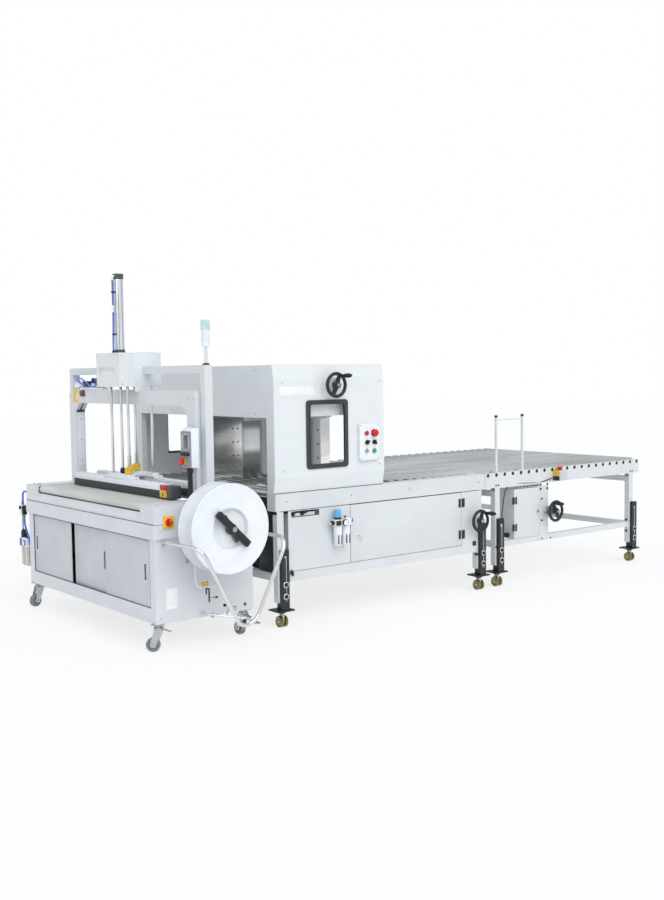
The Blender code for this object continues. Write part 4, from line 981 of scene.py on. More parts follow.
def makeInterlock():
    i = interlock
    yellow = [block(i["front"] - 2, i["front"] + 24, i["far"] - 1, i["far"] + 70, i["bottom"] + 4,
                    i["bottom"] + 44, 2),
              block(i["front"] - 5, i["front"] - 2.5, i["far"] + 6, i["far"] + 62, i["bottom"] + 8,
                    i["bottom"] + 40, 0.8)]
    finishPiece("interlock_case", strapper, yellow, "yellowPlastic", "press")
    red = [block(i["front"] - 2, i["front"] + 24, i["far"] + 2, i["far"] + 68, i["bottom"] + 46,
                 i["top"] + 2, 3)]
    finishPiece("interlock_cap", strapper, red, "redPlastic", "press")
    key = [block(i["front"] - 7, i["front"] - 4.8, i["far"] + 24, i["far"] + 34, i["bottom"] + 14,
                 i["bottom"] + 32, 0.8)]
    end = [block(i["front"], i["back"], i["near"], i["far"] - 1.5, i["bottom"], i["top"], 3)]
    finishPiece("interlock_end", strapper, end + key, "darkPlastic", "press")


makeHead()
makePress()
makeInterlock()
print("arch, gantry and press made")


# push buttons and knobs, used on every unit


def mushroomButton(name, unit, spot, outward, body, node):
    # a latching emergency stop head: a broad dome with a dished middle over a narrow stem
    head = [(0, 5.3), (11.2, 5.3), (11.2, 12), (19, 14), (20, 17), (20, 21), (18.5, 24.5), (14, 27),
            (7, 27.6), (0, 27.2)]
    ring = spun([(20.2, 15.5), (20.7, 16), (20.7, 19.5), (20.2, 20)], spot, outward, 32)
    finishPiece(name, unit, [spun(head, spot, outward, 32), ring], "redPlastic", body, [node])


def flushButton(name, unit, spot, outward, finish, body, node):
    cap = [(0, 4.3), (12.2, 4.3), (12.2, 6), (13.6, 7), (13.6, 9), (12, 11), (6, 11.8), (0, 12)]
    finishPiece(name, unit, [spun(cap, spot, outward, 28)], finish, body, [node])


def bezel(name, unit, spot, outward, inner, outer, height, finish, body="machine"):
    outline = [(inner, 0.1), (outer, 0.1), (outer, height * 0.6), (outer - 1.4, height), (inner, height)]
    finishPiece(name, unit, [spun(outline, spot, outward, 32)], finish, body)


# strapper: pendant, signal tower and reel

pendant = {"x": 232, "back": 287, "near": 7, "far": 103, "low": 941, "high": 1151, "stop": (232, 69, 976),
           "pole": (262, 62), "poleTop": 946}


def makePendant():
    p = pendant
    x = p["x"]
    low, high = p["low"], p["high"]
    shell = plate([(x + 8, low + 3), (p["back"], low), (p["back"], high), (x + 25, high),
                   (x + 8, high - 15)], 1,
                  p["near"], p["far"], 3)
    fascia = plate([(x + 0.2, low + 7), (x + 8, low + 5), (x + 8, high - 16), (x + 0.2, high - 20)], 1,
                   p["near"] + 1, p["far"] - 1, 1.5)
    finishPiece("pendant_shell", strapper, [shell], "white", stands=["control_pendant"])
    finishPiece("pendant_fascia", strapper, [fascia], "greyPlastic")
    left, right = p["near"] + 20, p["far"] - 30
    bottom, top = low + 101, low + 175
    finishPiece("pendant_display", strapper, [block(x - 0.8, x + 1, left, right, bottom, top, 0.6)],
                "display")
    rims = [block(x - 1.5, x + 0.6, left - 5, right + 5, z0, z1, 0.4) for z0,
            z1 in ((bottom - 6, bottom), (top, top + 6))]
    rims += [block(x - 1.5, x + 0.6, y0, y1, bottom - 6, top + 6, 0.4) for y0,
             y1 in ((left - 5, left), (right, right + 5))]
    keys = [block(x - 1.8, x + 0.4, p["far"] - 21, p["far"] - 9, bottom + 4 + 18 * row,
                  bottom + 14 + 18 * row, 1)
            for row in range(4)]
    finishPiece("pendant_screen_frame", strapper, rims + keys, "palePlastic")
    knobs = []
    for y in (p["near"] + 16, p["near"] + 41, p["near"] + 66):
        knobs.append(spun([(0, 0.1), (11, 0.1), (11, 4), (9, 5), (9, 15), (7, 17), (0, 17)],
                          (x, y, low + 74), toLeft, 20))
    finishPiece("pendant_knobs", strapper, knobs, "blackPlastic")
    stop = p["stop"]
    bezel("pendant_stop_collar", strapper, stop, toLeft, 12.2, 19, 6.6, "yellowPlastic")
    mushroomButton("pendant_stop_head", strapper, stop, toLeft, "pendant_stop_button",
                   "pendant_stop_button")
    poleX, poleY = p["pole"]
    pole = [rod((poleX, poleY, 770), (poleX, poleY, p["poleTop"]), 13, 1, 28),
            spun([(13.2, 0), (26, 0), (26, 4), (17, 10), (13.2, 10)], (poleX, poleY, 763.5), upright, 28),
            spun(ringed(13.2, 17, 0, 26), (poleX, poleY, p["poleTop"] - 34), upright, 28)]
    ribs = [spun([(13.1, 0), (14.6, 2), (13.1, 4)], (poleX, poleY, 780 + 7 * step), upright,
                 24) for step in range(18)]
    finishPiece("pendant_conduit", strapper, pole + ribs, "blackPlastic")


tower = {"x": 349, "y": 22, "base": 1478.4}


def makeTower():
    t = tower
    spot = (t["x"], t["y"], t["base"])
    foot = spun([(0, 0), (20, 0), (20, 5), (14, 9), (9, 10), (0, 10)], spot, upright, 32)
    finishPiece("tower_foot", strapper, [foot], "blackPlastic", stands=["signal_tower"])
    finishPiece("tower_pole", strapper, [spun(ringed(0, 8.5, 9, 93), spot, upright, 24)], "aluminium")
    body = spun([(0, 92), (14, 92), (21, 98), (21, 126), (22.4, 128), (22.4, 176), (23.4, 178), (23.4, 182),
                 (0, 182)],
                spot, upright, 36)
    finishPiece("tower_body", strapper, [body], "whitePlastic")
    outline = [(0, 182)]
    for step in range(8):
        outline += [(23.6, 182.4 + step * 5.8), (24.3, 184.4 + step * 5.8), (23.6, 187.2 + step * 5.8)]
    outline += [(23, 230), (19, 235), (0, 236)]
    finishPiece("tower_lens", strapper, [spun(outline, spot, upright, 36)], "lens")


reel = {
    "centre": (315, -174, 643), "radius": 233, "half": 66, "drum": 100, "hub": 20.6, "floor": -42,
    "clampTilt": 44, "barTilt": 58,
}


def makeReel():
    r = reel
    centre = r["centre"]
    half = r["half"]
    flangeOutline = [(r["hub"], r["floor"]), (88, r["floor"]), (96, r["floor"] - 2), (100, r["floor"] - 8),
                     (103, -half + 4), (106, -half + 1), (112, -half - 0.6), (118, -half), (219, -half),
                     (223, -half - 1.2), (229, -half - 1.5), (233, -half + 1), (233, -half + 7),
                     (230, -half + 8),
                     (227, -half + 4), (219, -half + 3.6), (115, -half + 3.6), (108, -half + 6),
                     (105, r["floor"] - 3),
                     (100, r["floor"] + 4), (r["hub"], r["floor"] + 4)]
    front = spun(flangeOutline, centre, toBack, 96)
    rearOutline = [(60, half - 3), (112, half - 3.6), (226, half - 3.6), (230, half - 8), (233, half - 7),
                   (233, half - 1), (229, half), (60, half)]
    rear = spun(rearOutline, centre, toBack, 96)
    drum = spun([(r["drum"], r["floor"] + 4.5), (r["drum"] + 2.5, r["floor"] + 4.5),
                 (r["drum"] + 2.5, half - 4),
                 (r["drum"], half - 4)], centre, toBack, 72)
    ribs = []
    for step in range(8):
        rib = block(-1.6, 1.6, centre[1] + r["floor"] + 5, centre[1] + half - 5, 24, r["drum"] + 1, 0.5)
        rib = tilted(rib, step * 45 + 12, "Y", (centre[0], 0, centre[2]))
        ribs.append(rib)
    finishPiece("reel_flanges", strapper, [front, rear, drum] + ribs, "whitePlastic", "reel",
                ["strap_reel"], 30)
    ring = spun([(r["hub"] + 0.3, r["floor"] - 0.2), (58, r["floor"] - 0.2), (58, r["floor"] - 3),
                 (54, r["floor"] - 5),
                 (30, r["floor"] - 5), (27, r["floor"] - 9),
                 (r["hub"] + 0.3, r["floor"] - 9)], centre, toBack, 40)
    finishPiece("reel_hub_ring", strapper, [ring], "whitePlastic", "reel")
    blank = tilted(block(-20, 20, centre[1] - half - 0.6, centre[1] - half - 0.1, -12, 12, 0.2), 22, "Y",
                   (centre[0] - 121, 0, centre[2] - 130))
    finishPiece("reel_label_blank", strapper, [blank], "label", "reel")
    # the strap itself: a few turns of white polypropylene left on the drum
    turns = spun([(r["drum"] + 3, r["floor"] + 9), (r["drum"] + 26, r["floor"] + 9), (r["drum"] + 27, 0),
                  (r["drum"] + 26, half - 8), (r["drum"] + 3, half - 8)], centre, toBack, 72)
    finishPiece("strap_winding", strapper, [turns], "label", "reel")


def makeReelClamp():
    r = reel
    x, y, z = r["centre"]
    face = y - r["half"]
    bar = plate([(-127, -14), (-122, -19), (-34, -19), (34, -19), (122, -19), (127, -14), (127, 14),
                 (122, 19),
                 (-122, 19), (-127, 14)], 1, face - 30, face - 9, 2.5)
    spine = block(-118, 118, face - 32.5, face - 29, -9, 9, 1.5)
    pieces = []
    for shape in (bar, spine):
        shape = tilted(shape, r["clampTilt"], "Y", (x, 0, z))
        pieces.append(shape)
    cross = tilted(block(-80, 80, face - 7, face + 14, -14, 14, 3), r["barTilt"], "Y", (x, 0, z))
    boss = rod((x, face - 8, z), (x, face + 14, z), 30, 2, 32)
    finishPiece("reel_bar", strapper, pieces, "blackPlastic", "reel", ["reel_clamp"])
    finishPiece("reel_cross_plate", strapper, [cross, boss], "darkPlastic", "reel")
    bolt = spun([(0, 0), (13, 0), (13, 3), (9, 4), (9, 10), (7.5, 12), (0, 12)], (x, face - 32, z), toFront,
                24)
    finishPiece("reel_bolt", strapper, [bolt], "zinc", "reel")
    dot = tilted(rod((-46, face - 7.4, 8), (-46, face - 13, 8), 7.5, 1, 20), r["barTilt"], "Y", (x, 0, z))
    finishPiece("reel_brake_cap", strapper, [dot], "yellowPlastic", "reel")


guard = {
    "corners": ((54, 11.4, 575), (60, -298, 582), (97, -330, 545), (297, -330, 168), (347, -330, 156),
                (404, -330, 185), (584, -326, 535), (598, -293, 580), (604, 11.4, 580)),
    "radius": 10.5, "bend": 52,
}


def makeGuard():
    g = guard
    tube("guard_tube", strapper, roundedRoute(g["corners"], g["bend"], 8), g["radius"], "chrome",
         stands=["reel_guard"], smooth=6)
    flanges = []
    for x, y, z in (g["corners"][0], g["corners"][-1]):
        flanges.append(spun([(10.6, 0), (24, 0), (24, 3), (15, 4), (12.5, 12), (10.6, 12)], (x, 11.8, z),
                            toFront, 28))
    finishPiece("guard_flanges", strapper, flanges, "chrome")


def makeLinkage():
    # the strap's slack arm and the foot brake, under the reel; bent rod and small levers
    face = trim["nearFace"]
    arm = [(212, face - 1, 470), (210, -52, 452), (206, -60, 366), (214, -60, 330), (300, -62, 318),
           (352, -64, 330),
           (366, -60, 372), (372, -50, 440), (374, face - 1, 458)]
    tube("slack_arm", strapper, roundedRoute(arm, 20), 3.2, "white")
    pulley = spun([(3.4, -17), (11, -17), (11, -13), (8, -11), (8, 11), (11, 13), (11, 17), (3.4, 17)],
                  (262, -62, 345),
                  (1, 0, 0), 24)
    finishPiece("slack_pulley", strapper, [pulley], "yellowPlastic")
    finishPiece("slack_bracket", strapper, [block(196, 388, -6, face - 0.2, 448, 478, 2),
                                            block(250, 278, -70, -52, 322, 338, 2)],
                "zinc")
    rods = [rod((282, face, 176), (282, -64, 176), 6, 1, 16),
            rod((276, -58, 176), (452, -150, 148), 6.5, 1, 16),
            rod((404, -120, 154), (404, -120, 196), 5, 1, 16),
            rod((366, -100, 160), (410, -60, 206), 4.5, 1, 16),
            rod((452, -150, 150), (430, -262, 150), 6.5, 1, 16)]
    collars = [spun(ringed(6.6, 13, -9, 9), (300, -70.5, 172.2), (0.87, -0.46, -0.14), 20),
               spun(ringed(6.6, 12, -8, 8), (410, -128, 154.7), (0.87, -0.46, -0.14), 20),
               block(396, 414, -128, -110, 190, 214, 3), block(418, 446, -300, -256, 144, 153, 3)]
    finishPiece("brake_rods", strapper, rods, "chrome")
    finishPiece("brake_collars", strapper, collars, "zinc")
    knobs = [spun([(0, 0), (7, 1), (10, 6), (10, 12), (6, 17), (0, 18)], (410, -60, 200), (0.5, 0.4, 0.8),
                  20),
             spun([(0, 0), (6, 1), (9, 5), (9, 11), (5, 15), (0, 16)], (372, -76, 208), upright, 20)]
    finishPiece("brake_knobs", strapper, knobs, "blackPlastic")


makePendant()
makeTower()
makeReel()
makeReelClamp()
makeGuard()
makeLinkage()
print("pendant, tower and reel made")


# strapper: air unit and casters

airUnit = {"x": 34, "y": 1702, "bodyLow": 350, "bodyHigh": 415, "bowlLow": 235}


def makeAirUnit():
    a = airUnit
    x, y = a["x"], a["y"]
    low, high = a["bodyLow"], a["bodyHigh"]
    bodies = [block(x - 24, x + 24, y - 52, y - 3, low + 8, high, 3),
              block(x - 24, x + 24, y + 3, y + 52, low + 8, high, 3)]
    finishPiece("air_bodies", strapper, bodies, "whitePlastic", stands=["strapper_air_unit"])
    blue = [block(x - 26, x - 23.6, side - 15, side + 15, low + 18, high - 12,
                  1) for side in (y - 28, y + 28)]
    blue.append(block(x - 27, x + 20, y + 16, y + 40, low + 12, high - 4, 3))
    finishPiece("air_panels", strapper, blue, "bluePlastic")
    bowls = [spun([(0, 0), (8, 0), (17, 5), (19.5, 14), (19.5, 104), (21, 106), (21, 122), (0, 122)],
                  (x, side, a["bowlLow"] + 2), upright, 32) for side in (y - 28, y + 28)]
    finishPiece("air_bowls", strapper, bowls, "bowl")
    guards = []
    for side in (y - 28, y + 28):
        for angle in (0, 90, 180, 270):
            strut = block(-2.5, 2.5, 19.6, 21.4, 20, 112, 0.6)
            strut = tilted(strut, angle + 30, "Z", (x, side, a["bowlLow"]))
            guards.append(strut)
        guards.append(spun(ringed(0, 6, -2, 4), (x, side, a["bowlLow"]), upright, 16))
    finishPiece("air_bowl_guards", strapper, guards, "aluminium")
    knob = [spun([(0, 0), (20, 0), (20, 6), (17, 8), (18, 26), (15.5, 46), (12, 50), (0, 50)],
                 (x, y + 28, high), upright, 32),
            block(x - 12, x + 20, y - 40, y - 14, high, high + 8, 2)]
    knob += [turned(block(x - 1.4, x + 1.4, y + 28 + 16.6, y + 28 + 19, high + 9, high + 38, 0.5),
                    step * 30, "Z",
                    (x, y + 28, 0)) for step in range(12)]
    finishPiece("air_knob", strapper, knob, "blackPlastic")
    gauge = spun([(0, 0), (19, 0), (19, 9), (16, 11), (0, 10.4)], (x - 23, y - 28, low + 34), toLeft, 32)
    finishPiece("air_gauge", strapper, [gauge], "greyPlastic")
    finishPiece("air_gauge_face", strapper, [rod((x - 33.2, y - 28, low + 34), (x - 34.2, y - 28, low + 34),
                                                 15, 0, 28)],
                "label")
    bracket = [block(x + 20, x + 30, 1592.8, y + 5, 392, 418, 1.5),
               block(x - 4, x + 22, 1604.4, y + 30, 592, 606, 1.5),
               rod((x, y + 45, 415), (x, y + 45, 650), 6, 1, 20)]
    finishPiece("air_bracket", strapper, bracket, "zinc")
    valve = [block(x - 18, x + 12, y + 18, y + 50, 556, 622, 3),
             spun(ringed(0, 11, 0, 8), (x - 18, y + 30, 604),
                                                                         toLeft, 24)]
    finishPiece("slide_valve", strapper, [valve[0]], "whitePlastic")
    finishPiece("slide_valve_cap", strapper, [valve[1],
                                              block(x - 16, x + 14, y + 2, y + 17.4, 560, 616,
                                                    2)], "blackPlastic")
    nuts = [spun([(0, 0), (8, 0), (8, 12), (5.5, 14), (0, 14)], (x - 3, y + 6, 560), (0, 0, -1), 12),
            spun([(0, 0), (8, 0), (8, 12), (5.5, 14), (0, 14)], (x - 3, y + 26, 621), upright, 12)]
    finishPiece("valve_fittings", strapper, nuts, "brass")
    upper = [(x - 3, y + 26, 630), (x - 3, y + 24, 712), (x + 8, 1604.6, 700)]
    feeds["air_hose_upper"] = (strapper, roundedRoute(upper, 58, 8), 6, "hose", "machine")
    lower = [(x - 3, y + 6, 552), (x - 8, y - 2, 500), (x - 12, y - 78, 420), (x, y - 50, 372)]
    feeds["air_hose_lower"] = (strapper, roundedRoute(lower, 54, 8), 6, "hose", "machine")


casters = {
    "places": {"front_near": (44, 47, 140), "front_far": (47, 1557, 195), "back_near": (574, 57, 95),
               "back_far": (574, 1557, 150)},
    "top": 149.6, "trail": 30, "radius": 37.5,
}


def makeCasters():
    c = casters
    top = c["top"]
    trail = c["trail"]
    radius = c["radius"]
    for name, (x, y, heading) in c["places"].items():
        turn = Matrix.Translation((x, y, 0)) @ Matrix.Rotation(math.radians(heading), 4, "Z")
        forkShapes = [block(-36, 36, -36, 36, top - 4, top, 1.2),
                      spun([(0, 0), (17, 0), (24, -4), (25, -9), (22, -13), (0, -13)], (0, 0, top - 4),
                           upright, 32),
                      spun([(0, 0), (22, 0), (26, -4), (24, -9), (0, -10)], (0, 0, top - 17), upright, 32)]
        for a, b in ((-26, -26), (26, -26), (-26, 26), (26, 26)):
            forkShapes.append(spun(ringed(0, 6, 0, -5), (a, b, top - 4), upright, 6))
        for side in (-1, 1):
            low, high = sorted((side * 18.6, side * 22.4))
            cheek = plate([(-20, top - 25), (-22, top - 40), (trail - 14, radius - 12),
                           (trail + 8, radius - 12),
                           (trail + 15, radius + 2), (22, top - 38), (22, top - 25)], 1, low, high, 1)
            forkShapes.append(cheek)
            forkShapes.append(hexBolt((trail, side * 22.4, radius), (0, side, 0), 6, 4))
        forkShapes.append(block(-24, 24, -22, 22, top - 29, top - 25, 1))
        forkShapes.append(rod((trail, -22, radius), (trail, 22, radius), 4.8, 0, 16))
        lever = [plate([(-66, top - 44), (-62, top - 47), (-26, top - 38), (-10, top - 36), (-10, top - 31),
                        (-30, top - 32)],
                       1, -13, 13, 1.2)]
        for shape in forkShapes + lever:
            bmesh.ops.transform(shape, matrix=turn, verts=shape.verts)
        fork = "caster_fork_" + name
        finishPiece(fork + "_pressing", strapper, forkShapes, "zinc", fork, [fork])
        finishPiece(fork + "_brake", strapper, lever, "chrome", fork)
        hub = turn @ Vector((trail, 0, radius))
        axle = turn.to_3x3() @ Vector(toBack)
        tyre = spun([(25, -14), (radius - 5, -15), (radius - 1.5, -12.5), (radius, -7), (radius, 7),
                     (radius - 1.5, 12.5),
                     (radius - 5, 15), (25, 14)], hub, axle, 40)
        wheel = "caster_wheel_" + name
        finishPiece(wheel + "_tyre", strapper, [tyre], "greyRubber", wheel, [wheel])
        disc = spun([(5.2, -13), (9, -15), (12, -15), (14, -9), (23, -8), (25, -12.5), (25, 12.5), (23, 8),
                     (14, 9),
                     (12, 15), (9, 15), (5.2, 13)], hub, axle, 32)
        finishPiece(wheel + "_hub", strapper, [disc], "greyPlastic", wheel)


makeAirUnit()
makeCasters()
print("air unit and casters made")


# handwheels and legs, which the gate and the table share

wheelSizes = {"middle": 65, "thick": 10, "bore": 10.5, "web": 15, "grip": 94}


def handwheel(name, unit, centre, gripAngle, webAngle):
    w = wheelSizes
    x, y, z = centre
    reach = w["middle"]
    rim = spun([(reach + w["thick"] * math.cos(math.radians(30 * step)),
                 w["thick"] * math.sin(math.radians(30 * step)))
                for step in range(12)], centre, toFront, 48)
    web = plate([(-reach, -9), (-24, -w["web"]), (24, -w["web"]), (reach, -9), (reach, 9), (24, w["web"]),
                 (-24, w["web"]), (-reach, 9)], 1, -6, 5, 1.5)
    web = tilted(web, -webAngle, "Y", centre)
    hub = spun([(w["bore"], -16), (20, -16), (22, -12), (22, 8), (18, 10), (18, 18), (w["bore"], 18)],
               centre,
               toFront, 32)
    angle = math.radians(gripAngle)
    foot = Vector(centre) + Vector((math.cos(angle), 0, math.sin(angle))) * reach
    collar = spun(ringed(0, 8, 4, 12), foot, toFront, 24)
    finishPiece(name + "_rim", unit, [rim, web, hub, collar], "blackPlastic", name, [name])
    grip = spun([(0, 12.3), (7.5, 12.3), (8, 20), (10.5, 30), (12.8, 46), (13, 66), (11, 80), (8.5, 88),
                 (5, 93), (0, w["grip"])],
                foot, toFront, 28)
    finishPiece(name + "_grip", unit, [grip], "blackPlastic", name)
    cap = spun([(0, 18.2), (9, 18.2), (9, 19.6), (5.5, 20), (5.5, 24), (0, 24.4)], centre, toFront, 24)
    nut = rod(Vector(centre) + Vector((0, -19.8, 0)), Vector(centre) + Vector((0, -22.6, 0)), 8, 0.4, 6)
    finishPiece(name + "_nut", unit, [cap, nut], "zinc", name)


legs = {
    "foot": 40, "sleeve": (14, 62), "sleeveLow": 102.6, "channelTop": 440.3, "slotHalf": 8, "slotLow": 150,
    "slotHigh": 400, "nearDepth": (2, 52), "farDepth": (1545, 1595), "nearSkin": -16, "farSkin": 1613,
    "bolts": (247, 180), "plateZ": (94, 102.3), "plateHalf": 56, "wheel": 33,
}


def legSet(name, unit, x, side, sleeveTop):
    # the black slotted height channel over the frame's own, its two bolts and the foot
    k = legs
    near = side > 0
    y0, y1 = k["nearDepth" if near else "farDepth"]
    out = k["nearSkin" if near else "farSkin"]
    face = -side
    bottom, slotHalf = k["sleeveLow"], k["slotHalf"]
    footX = x + k["foot"]
    footY = (y0 + y1) / 2
    low, high = (x + edge for edge in k["sleeve"])
    inner = out - 6 * face
    skinLow, skinHigh = sorted((out + face * 3, out + face * 0.3))
    walls = [block(low - 2.6, footX - slotHalf, skinLow, skinHigh, bottom, sleeveTop, 0.8),
             block(footX + slotHalf, high + 2.6, skinLow, skinHigh, bottom, sleeveTop, 0.8),
             block(footX - slotHalf - 1, footX + slotHalf + 1, skinLow, skinHigh, bottom, k["slotLow"],
                   0.8),
             block(footX - slotHalf - 1, footX + slotHalf + 1, skinLow, skinHigh, sleeveTop - 34, sleeveTop,
                   0.8)]
    sideLow, sideHigh = sorted((out + face * 2.8, out - face * 17.7))
    walls += [block(low - 2.8, low - 0.2, sideLow, sideHigh, bottom, sleeveTop, 0.8),
              block(high + 0.2, high + 2.8, sideLow, sideHigh, bottom, sleeveTop, 0.8)]
    lidLow = max(sleeveTop, k["channelTop"])
    walls.append(block(low - 2.8, high + 2.8, sideLow, sideHigh, lidLow, lidLow + 2, 0.8))
    back = block(footX - slotHalf - 0.5, footX + slotHalf + 0.5, *sorted((inner, inner - face * 3)),
                 k["slotLow"], k["slotHigh"], 0.4)
    finishPiece(name + "_sleeve", unit, walls + [back], "blackSteel")
    plate0, plate1 = k["plateZ"]
    wide = k["plateHalf"]
    foot = [block(footX - wide, footX + wide, footY - 51, footY + 51, plate0 - 0.6, plate1 + 0.6, 1.5),
            block(footX - 21, footX + 21, *((y0 + 4, y1 - 11) if near else (y0 + 11, y1 - 4)), plate1 + 0.3,
                  144.7, 1.5),
            spun([(0, 0), (26, 0), (24, -10), (18, -14), (0, -14)], (footX, footY, plate0 - 0.7), upright,
                 32)]
    finishPiece(name + "_foot", unit, foot, "blackSteel")
    bolts = []
    washers = []
    for z in k["bolts"]:
        spot = (footX, out + face * 3.1, z)
        washers.append(spun([(13, 0), (18, 0), (18, 1.6), (17, 2.4), (13, 2.4)], spot, (0, face, 0), 28))
        bolts.append(spun([(0, 0), (12.8, 0), (12.8, 3), (10, 3.6), (0, 3.6)], spot, (0, face, 0), 28))
        bolts.append(rod(Vector(spot) + Vector((0, face * 3.5, 0)),
                         Vector(spot) + Vector((0, face * 10, 0)), 9.5, 0.7, 6))
    finishPiece(name + "_washers", unit, washers, "chrome")
    finishPiece(name + "_bolts", unit, bolts, "blackSteel")


def twinWheel(node, unit, centre):
    k = legs
    radius = k["wheel"]
    discs = []
    for side in (-1, 1):
        a, b = (6.3, 23.8) if side > 0 else (-23.8, -6.3)
        inner, outer = (a, b) if side > 0 else (b, a)
        discs.append(spun([(7, inner), (radius - 4, inner), (radius, inner + 3 * side),
                           (radius, outer - 3 * side),
                           (radius - 3, outer), (radius - 8, outer - 0.8 * side),
                           (radius - 12, outer - 4 * side),
                           (12, outer - 4 * side), (10, outer), (7, outer)], centre, (1, 0, 0), 36))
    finishPiece(node + "_discs", unit, discs, "brass", node, [node])
    hub = [spun(ringed(6.2, 9, -6.2, 6.2), centre, (1, 0, 0), 24),
           spun([(0, -25), (6, -25), (6.9, -23.6), (6.9, 23.6), (6, 25), (0, 25)], centre, (1, 0, 0), 24)]
    finishPiece(node + "_axle", unit, hub, "zinc", node)


# gate: covers

gateCover = {
    "face": 0, "left": 18, "right": 822, "gasketOut": (239, 542, 883, 1275),
    "gasketIn": (267, 514, 910, 1249), "screws": ((77, 1375), (78, 885), (787, 1376), (786, 886)),
    "blank": (54, 301, 1305, 1353), "wheel": (423, -50, 1359),
}


def rubberFrame(name, y0, y1):
    g = gateCover
    outline = roundedRectangle(*g["gasketOut"], 20, 6)
    opening = roundedRectangle(*g["gasketIn"], 12, 6)
    wide = framePlate(outline, opening, y0, y1)
    inner = roundedRectangle(*(value + shift for value, shift in zip(g["gasketIn"], (-9, 9, -9, 9))), 16, 6)
    rib = framePlate(inner, opening, min(y0, y1) - 3, max(y0, y1) + 3)
    finishPiece(name, gate, [wide, rib], "darkRubber")


def makeGateCovers():
    g = gateCover
    rubberFrame("near_window_gasket", -7, -0.2)
    rubberFrame("far_window_gasket", 1597.2, 1604)
    blank = block(g["blank"][0], g["blank"][1], -1.6, -0.1, g["blank"][2], g["blank"][3], 0.5)
    finishPiece("gate_nameplate_blank", gate, [blank], "label")
    screws = []
    for y, outward in ((-0.1, toFront), (1597.1, toBack)):
        screws += [domeScrew((x, y, z), outward, 5) for x, z in g["screws"]]
        screws += [domeScrew((x, y, 712), outward, 5.5) for x in (95, 565, 1029, 1633)]
    for x, outward in ((19.8, toLeft), (820.2, (1, 0, 0))):
        screws += [domeScrew((x, y, z), outward, 5) for y in (182, 798, 1415) for z in (1203, 1449)]
    finishPiece("gate_cover_screws", gate, screws, "zinc")
    # dark strips painted as shade: under the covers' top ledges, and the shadow under the beam's proud face
    shadeLines = [block(18, 822, 13.6, 16, 757.1, 760.4, 0.3), block(18, 822, 1581, 1583.4, 757.1, 760.4, 0.3),
             block(51, 1640, 0.5, 1.9, 656.4, 659.8, 0.3)]
    finishPiece("gate_painted_shade_lines", gate, shadeLines, "darkRubber")
    handwheel("gate_handwheel", gate, g["wheel"], 55, 68)


# gate: control box and its buttons

controls = {"box": (616, 768, -22.3, -0.3, 912, 1126), "front": -22.3, "left": 666, "right": 724,
            "rows": (1072, 1018, 966), "key": (666, 966)}


def selector(node, x, z, tilt):
    front = controls["front"] - 0.3
    base = spun([(0, 0), (13.6, 0), (13.6, 3), (12, 7), (0, 8)], (x, front, z), toFront, 28)
    lever = plate([(-4.5, -12), (-3, -14), (3, -14), (4.5, -12), (3.6, 12), (2, 14), (-2, 14), (-3.6, 12)],
                  1,
                  front - 23.4, front - 5, 0.8)
    lever = tilted(lever, tilt, "Y", (x, 0, z))
    finishPiece(node + "_knob", gate, [base, lever], "blackPlastic", node, [node])


def makeControlBox():
    c = controls
    x0, x1, y0, y1, z0, z1 = c["box"]
    lid = plate(roundedRectangle(x0, x1, z0, z1, 9), 1, y0, y1 - 7, 2.2)
    base = plate(roundedRectangle(x0 + 1.5, x1 - 1.5, z0 + 1.5, z1 - 1.5, 8), 1, y1 - 6.4, y1, 0.6)
    finishPiece("control_box_shell", gate, [lid, base], "whitePlastic", stands=["control_box"])
    high, middle, low = c["rows"]
    screws = [spun([(0, 0), (4.4, 0), (4, 0.9), (2, 1), (1.6, 0.5), (0, 0.5)], (x, y0 - 0.1, z), toFront,
                   16)
              for x in (x0 + 10, x1 - 10) for z in (z0 + 10, z1 - 10)]
    finishPiece("control_box_screws", gate, screws, "zinc")
    front = toFront
    for name, x, z in (("stop", c["left"], high), ("start", c["right"], low),
                       ("selector_left", c["left"] + 2, middle),
                       ("selector_right", c["right"], middle), ("key", c["left"], low)):
        bezel(name + "_collar", gate, (x, y0, z), front, 14.2, 17, 3.4, "aluminium")
    bezel("gate_emergency_collar", gate, (c["right"], y0, high), front, 12.6, 22, 4, "redPlastic")
    flushButton("stop_button_cap", gate, (c["left"], y0, high), front, "redPlastic", "stop_button",
                "stop_button")
    flushButton("start_button_cap", gate, (c["right"], y0, low), front, "greenPlastic", "start_button",
                "start_button")
    mushroomButton("gate_emergency_head", gate, (c["right"], y0, high), front, "gate_emergency_stop",
                   "gate_emergency_stop")
    selector("left_selector", c["left"] + 2, middle, 30)
    selector("right_selector", c["right"], middle, -20)
    keyX, keyZ = c["key"]
    barrel = spun([(0, 0), (13.6, 0), (13.6, 4), (11, 7), (7, 7.4), (7, 5.6), (0, 5.6)], (keyX, y0, keyZ),
                  front, 28)
    slot = block(keyX - 1.2, keyX + 1.2, y0 - 5.9, y0 - 5.2, keyZ - 5, keyZ + 5, 0.3)
    finishPiece("key_switch", gate, [barrel], "zinc")
    finishPiece("key_slot", gate, [slot, block(keyX + 6, keyX + 13, y0 - 7.6, y0 - 6, keyZ - 2, keyZ + 2,
                                               0.4)], "blackPlastic")


# gate: side guides between the covers

guides = {"near": (514.5, 518.5), "far": (1078.5, 1082.5), "left": 148, "right": 816, "low": 800,
          "high": 1168,
          "rails": (268, 698), "railZ": 1220, "posts": {"near": (316, 690), "far": (472, 716)}}


